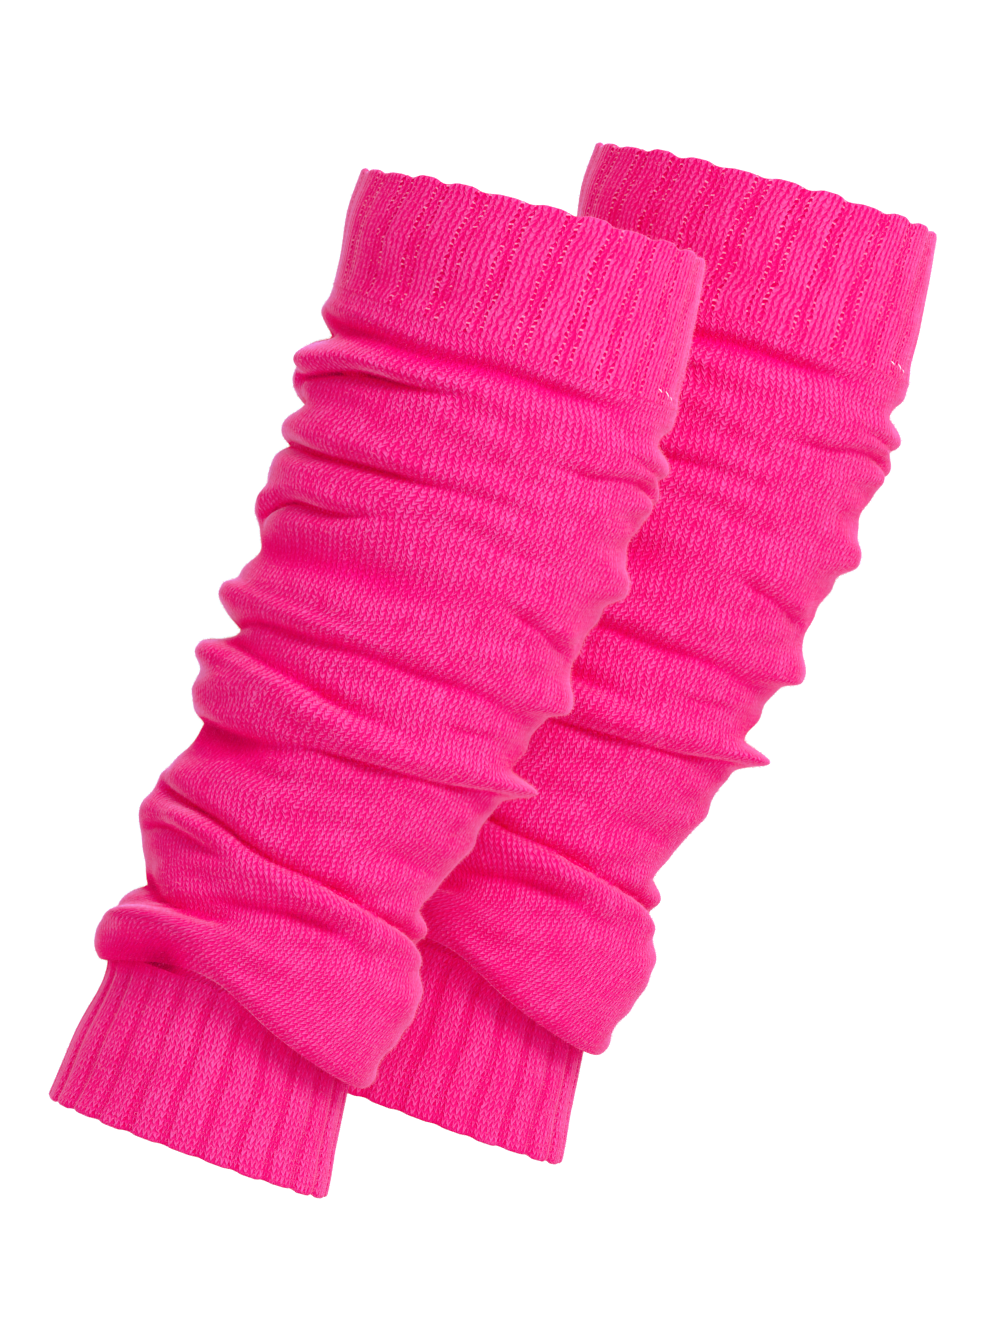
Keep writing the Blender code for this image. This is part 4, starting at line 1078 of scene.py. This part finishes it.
def fibre_tree(fibre):
    """Stands copies of a fibre all over the outside of a knitted wall."""
    tree = bpy.data.node_groups.new("loose_fibres", "GeometryNodeTree")
    sockets = {}
    for name, kind in (("Geometry", "NodeSocketGeometry"), ("Per square metre", "NodeSocketFloat"),
                       ("Length", "NodeSocketFloat"), ("Width", "NodeSocketFloat"),
                       ("Seed", "NodeSocketInt"), ("Material", "NodeSocketMaterial")):
        sockets[name] = tree.interface.new_socket(name, in_out="INPUT", socket_type=kind).identifier
    tree.interface.new_socket("Geometry", in_out="OUTPUT", socket_type="NodeSocketGeometry")
    given = add_node(tree, "NodeGroupInput").outputs
    outside = add_node(tree, "GeometryNodeInputNamedAttribute", [("Name", "outside")],
                       data_type="FLOAT").outputs[0]
    spread = add_node(tree, "GeometryNodeDistributePointsOnFaces",
                      [("Mesh", given["Geometry"]), ("Selection", outside),
                       ("Density", given["Per square metre"]), ("Seed", given["Seed"])])
    lean = add_node(tree, "FunctionNodeRandomValue",
                    [(0, (-FIBRE_LEAN, -FIBRE_LEAN, 0.0)),
                     (1, (FIBRE_LEAN, FIBRE_LEAN, 2.0 * math.pi)),
                     ("Seed", given["Seed"])], data_type="FLOAT_VECTOR").outputs[0]
    turned = add_node(tree, "FunctionNodeRotateRotation",
                      [("Rotation", spread.outputs["Rotation"]), ("Rotate By", lean)],
                      rotation_space="LOCAL").outputs[0]
    shortest, longest = FIBRE_LENGTHS
    longer = add_node(tree, "FunctionNodeRandomValue",
                      [(2, shortest), (3, longest), ("Seed", given["Seed"])],
                      data_type="FLOAT").outputs[1]
    length = add_node(tree, "ShaderNodeMath", [(0, given["Length"]), (1, longer)],
                      operation="MULTIPLY").outputs[0]
    size = add_node(tree, "ShaderNodeCombineXYZ",
                    [("X", given["Width"]), ("Y", length), ("Z", length)]).outputs[0]
    shape = add_node(tree, "GeometryNodeObjectInfo", [("Object", fibre)])
    copies = add_node(tree, "GeometryNodeInstanceOnPoints",
                      [("Points", spread.outputs["Points"]),
                       ("Instance", shape.outputs["Geometry"]),
                       ("Rotation", turned), ("Scale", size)])
    real = add_node(tree, "GeometryNodeRealizeInstances", [("Geometry", copies.outputs[0])])
    painted = add_node(tree, "GeometryNodeSetMaterial",
                       [("Geometry", real.outputs[0]), ("Material", given["Material"])])
    add_node(tree, "NodeGroupOutput", [(0, painted.outputs[0])])
    return tree, sockets


def add_fuzz(piece, tree, sockets, seed):
    """The loose fibres of one piece of knitting, as a plain mesh of their own."""
    host = put_in_scene(piece.name + "_fuzz", piece.data.copy())
    grower = host.modifiers.new("fibres", "NODES")
    grower.node_group = tree
    for name, value in (("Per square metre", FIBRES_PER_SQUARE_METRE),
                        ("Length", FIBRE_LENGTH * MM), ("Width", FIBRE_WIDTH * MM),
                        ("Seed", seed), ("Material", fuzz_material)):
        grower[sockets[name]] = value
    grown = host.evaluated_get(bpy.context.evaluated_depsgraph_get())
    mesh = bpy.data.meshes.new_from_object(grown)
    host.modifiers.remove(grower)
    bare = host.data
    host.data = mesh
    bpy.data.meshes.remove(bare)
    mesh.name = host.name
    return host


# ---------------------------------------------------------------- elastic thread ends
# Where each leaves the knitting and where it points, and how far it arches off the cuff
ThreadEnd = namedtuple("ThreadEnd", "angle height toward_angle toward_height stand")
THREAD_ENDS = (
    ThreadEnd(angle=60.5, height=289.6, toward_angle=63.0, toward_height=288.6, stand=0.8),
    ThreadEnd(angle=65.5, height=289.6, toward_angle=68.5, toward_height=287.4, stand=1.0),
    ThreadEnd(angle=70.5, height=288.4, toward_angle=71.5, toward_height=286.6, stand=0.8),
)
THREAD_RADIUS = 0.17
THREAD_TIP = 0.45         # share of that at each end
THREAD_SPANS = 6
THREAD_CORNERS = 6
THREAD_ARCH = (0.15, 0.75)          # where its arch starts, and how much of it there is


def build_thread_ends(side, offset):
    """Short white ends of the elastic thread, where the top cuff was linked on."""
    points, faces = [], []
    arch_start, arch_reach = THREAD_ARCH
    for end in THREAD_ENDS:
        for step in range(THREAD_SPANS + 1):
            share = step / THREAD_SPANS
            angle = end.angle + (end.toward_angle - end.angle) * share
            height = end.height + (end.toward_height - end.height) * share
            arch = end.stand * math.sin(math.pi * (arch_start + arch_reach * share))
            centre = girth_point(np.array(angle), np.array(height), np.array(height), arch)
            at_tip = step in (0, THREAD_SPANS)
            thick = THREAD_RADIUS * (THREAD_TIP if at_tip else 1.0)
            ring_start = len(points)
            for corner in range(THREAD_CORNERS):
                turn = 2.0 * math.pi * corner / THREAD_CORNERS
                points.append(centre + np.array([0.0, -math.cos(turn), math.sin(turn)]) * thick)
            if step:
                before = ring_start - THREAD_CORNERS
                for corner in range(THREAD_CORNERS):
                    beside = (corner + 1) % THREAD_CORNERS
                    faces.append((before + corner, before + beside,
                                  ring_start + beside, ring_start + corner))
            if at_tip:
                cap = [ring_start + corner for corner in range(THREAD_CORNERS)]
                faces.append(tuple(cap if step else cap[::-1]))
    mesh = bpy.data.meshes.new(side + "_thread_ends")
    mesh.from_pydata(set_upright(np.array(points), offset).tolist(), [], faces)
    mesh.validate()
    mesh.shade_smooth()
    mesh.materials.append(elastic_material)
    return put_in_scene(mesh.name, mesh)


# ---------------------------------------------------------------- dressing the frame
# Each sheet's flat size is its girth and its length of cloth, in metres. The fibres of each
# piece are strewn by a seed of their own.
fibre = fibre_shape()
fuzz_tree, sockets = fibre_tree(fibre)
seed = 1
for side, offset in (("front", (0.0, 0.0, 0.0)), ("back", PAIR_OFFSET)):
    top = build_top_cuff(side, offset)
    leg = build_leg(side, offset)
    ankle = build_ankle_cuff(side, offset)
    ends = build_thread_ends(side, offset)
    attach(ends, "root")
    for piece, node, slot, flat, held in (
            (top, "top_cuff", "rib_knit", (0.368, 0.046), "stretched"),
            (leg, "leg", "plain_knit", (0.362, 0.300), "gathered"),
            (ankle, "bottom_cuff", "rib_knit", (0.292, 0.054), "stretched")):
        fuzz = add_fuzz(piece, fuzz_tree, sockets, seed)
        seed += 1
        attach(piece, "root")
        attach(fuzz, "root")
        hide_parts(side + "_" + node)
bpy.data.objects.remove(fibre, do_unlink=True)

# ---------------------------------------------------------------- studio
scene = bpy.context.scene
scene.view_settings.view_transform = "Standard"

# A camera's own contrast: reds roll off near white, and the little green there is in a deep
# pink falls away in the shade. Pairs of light seen and light shown.
TONES = {
    "red": ((0.3, 0.42), (0.6, 0.69), (0.8, 0.81), (0.9, 0.865), (1.0, 0.905)),
    "green": ((0.01, 0.0015), (0.018, 0.005), (0.026, 0.012), (0.036, 0.034), (0.05, 0.066),
              (0.065, 0.094), (0.3, 0.36)),
}
scene.view_settings.use_curve_mapping = True
tones = scene.view_settings.curve_mapping
for curve, pairs in zip(tones.curves, TONES.values()):
    for seen, shown in pairs:
        if seen < 1.0:
            curve.points.new(seen, shown)
        else:
            curve.points[-1].location = (seen, shown)
tones.update()

# White paper floor below both hems, in metres
FLOOR_SIDE = 0.7
FLOOR_FRONT = -0.6
FLOOR_BACK = 0.7
FLOOR_LEVEL = -0.365
floor_mesh = bpy.data.meshes.new("studio_floor")
floor_mesh.from_pydata([(-FLOOR_SIDE, FLOOR_FRONT, FLOOR_LEVEL),
                        (FLOOR_SIDE, FLOOR_FRONT, FLOOR_LEVEL),
                        (FLOOR_SIDE, FLOOR_BACK, FLOOR_LEVEL),
                        (-FLOOR_SIDE, FLOOR_BACK, FLOOR_LEVEL)], [], [(0, 1, 2, 3)])
floor = put_in_scene("studio_floor", floor_mesh)
paper = bpy.data.materials.new("white_paper")
paper_tree = bare_tree(paper)
paper_shader = add_node(paper_tree, "ShaderNodeBsdfPrincipled",
                        [("Base Color", colour("#E4E4E4")), ("Roughness", 0.9)])
add_node(paper_tree, "ShaderNodeOutputMaterial", [("Surface", paper_shader.outputs[0])])
floor_mesh.materials.append(paper)

# A white studio all round: its light from in front, and how much more comes from the right,
# from overhead, from both sides and from behind, which is the brightest
LIGHT_FRONT = 0.455
LIGHT_RIGHT = 0.19
LIGHT_ABOVE = 0.26
LIGHT_BESIDE = 0.26
LIGHT_BEHIND = 1.6
LIGHT_BEHIND_MOST = 0.9
world = bpy.data.worlds.new("white_studio")
scene.world = world
world_tree = bare_tree(world)
toward = add_node(world_tree, "ShaderNodeTexCoord").outputs["Generated"]
split = add_node(world_tree, "ShaderNodeSeparateXYZ", [(0, toward)])
light = {"x": split.outputs["X"], "y": split.outputs["Y"], "z": split.outputs["Z"]}
work_out(world_tree, light, [
    Sum("above", "MULTIPLY_ADD", "z", LIGHT_ABOVE, LIGHT_FRONT),
    Sum("right", "MULTIPLY_ADD", "x", LIGHT_RIGHT, "above"),
    Sum("aside", "ABSOLUTE", "x"),
    Sum("beside", "MULTIPLY_ADD", "aside", LIGHT_BESIDE, "right"),
    Sum("back", "MULTIPLY", "y", LIGHT_BEHIND),
    Sum("back_only", "MAXIMUM", "back", 0.0),
    Sum("behind", "MINIMUM", "back_only", LIGHT_BEHIND_MOST),
    Sum("level", "ADD", "beside", "behind"),
])
background = add_node(world_tree, "ShaderNodeBackground",
                      [("Color", colour("#FFFFFF")), ("Strength", light["level"])])
add_node(world_tree, "ShaderNodeOutputWorld", [("Surface", background.outputs[0])])

# A large square lamp, up at the right and in front, aimed at the middle of the pair
SOFTBOX_PLACE = Vector((0.95, -1.5, 1.35))
SOFTBOX_AIM = Vector((0.0, 0.0, -0.13))
softbox = bpy.data.lights.new("key_softbox", "AREA")
softbox.shape = "SQUARE"
softbox.size = 0.9
softbox.energy = 55.0
lamp = put_in_scene("key_softbox", softbox)
lamp.location = SOFTBOX_PLACE
lamp.rotation_euler = (SOFTBOX_AIM - SOFTBOX_PLACE).to_track_quat("-Z", "Y").to_euler()

# Level with the middle of the pair and far off, so that nothing looks nearer than the rest
CAMERA_DISTANCE = 14.0
CAMERA_ACROSS = -0.0082
CAMERA_HEIGHT = -0.1295
FRAME_HEIGHT = 0.4435     # of what the camera takes in, at the front leg warmer
camera_data = bpy.data.cameras.new("camera")
camera_data.sensor_width = 36.0
camera_data.lens = camera_data.sensor_width * CAMERA_DISTANCE / FRAME_HEIGHT
camera_data.clip_end = 100.0
camera = put_in_scene("camera", camera_data)
camera.location = (CAMERA_ACROSS, -CAMERA_DISTANCE, CAMERA_HEIGHT)
camera.rotation_euler = (math.radians(90.0), 0.0, 0.0)
scene.camera = camera
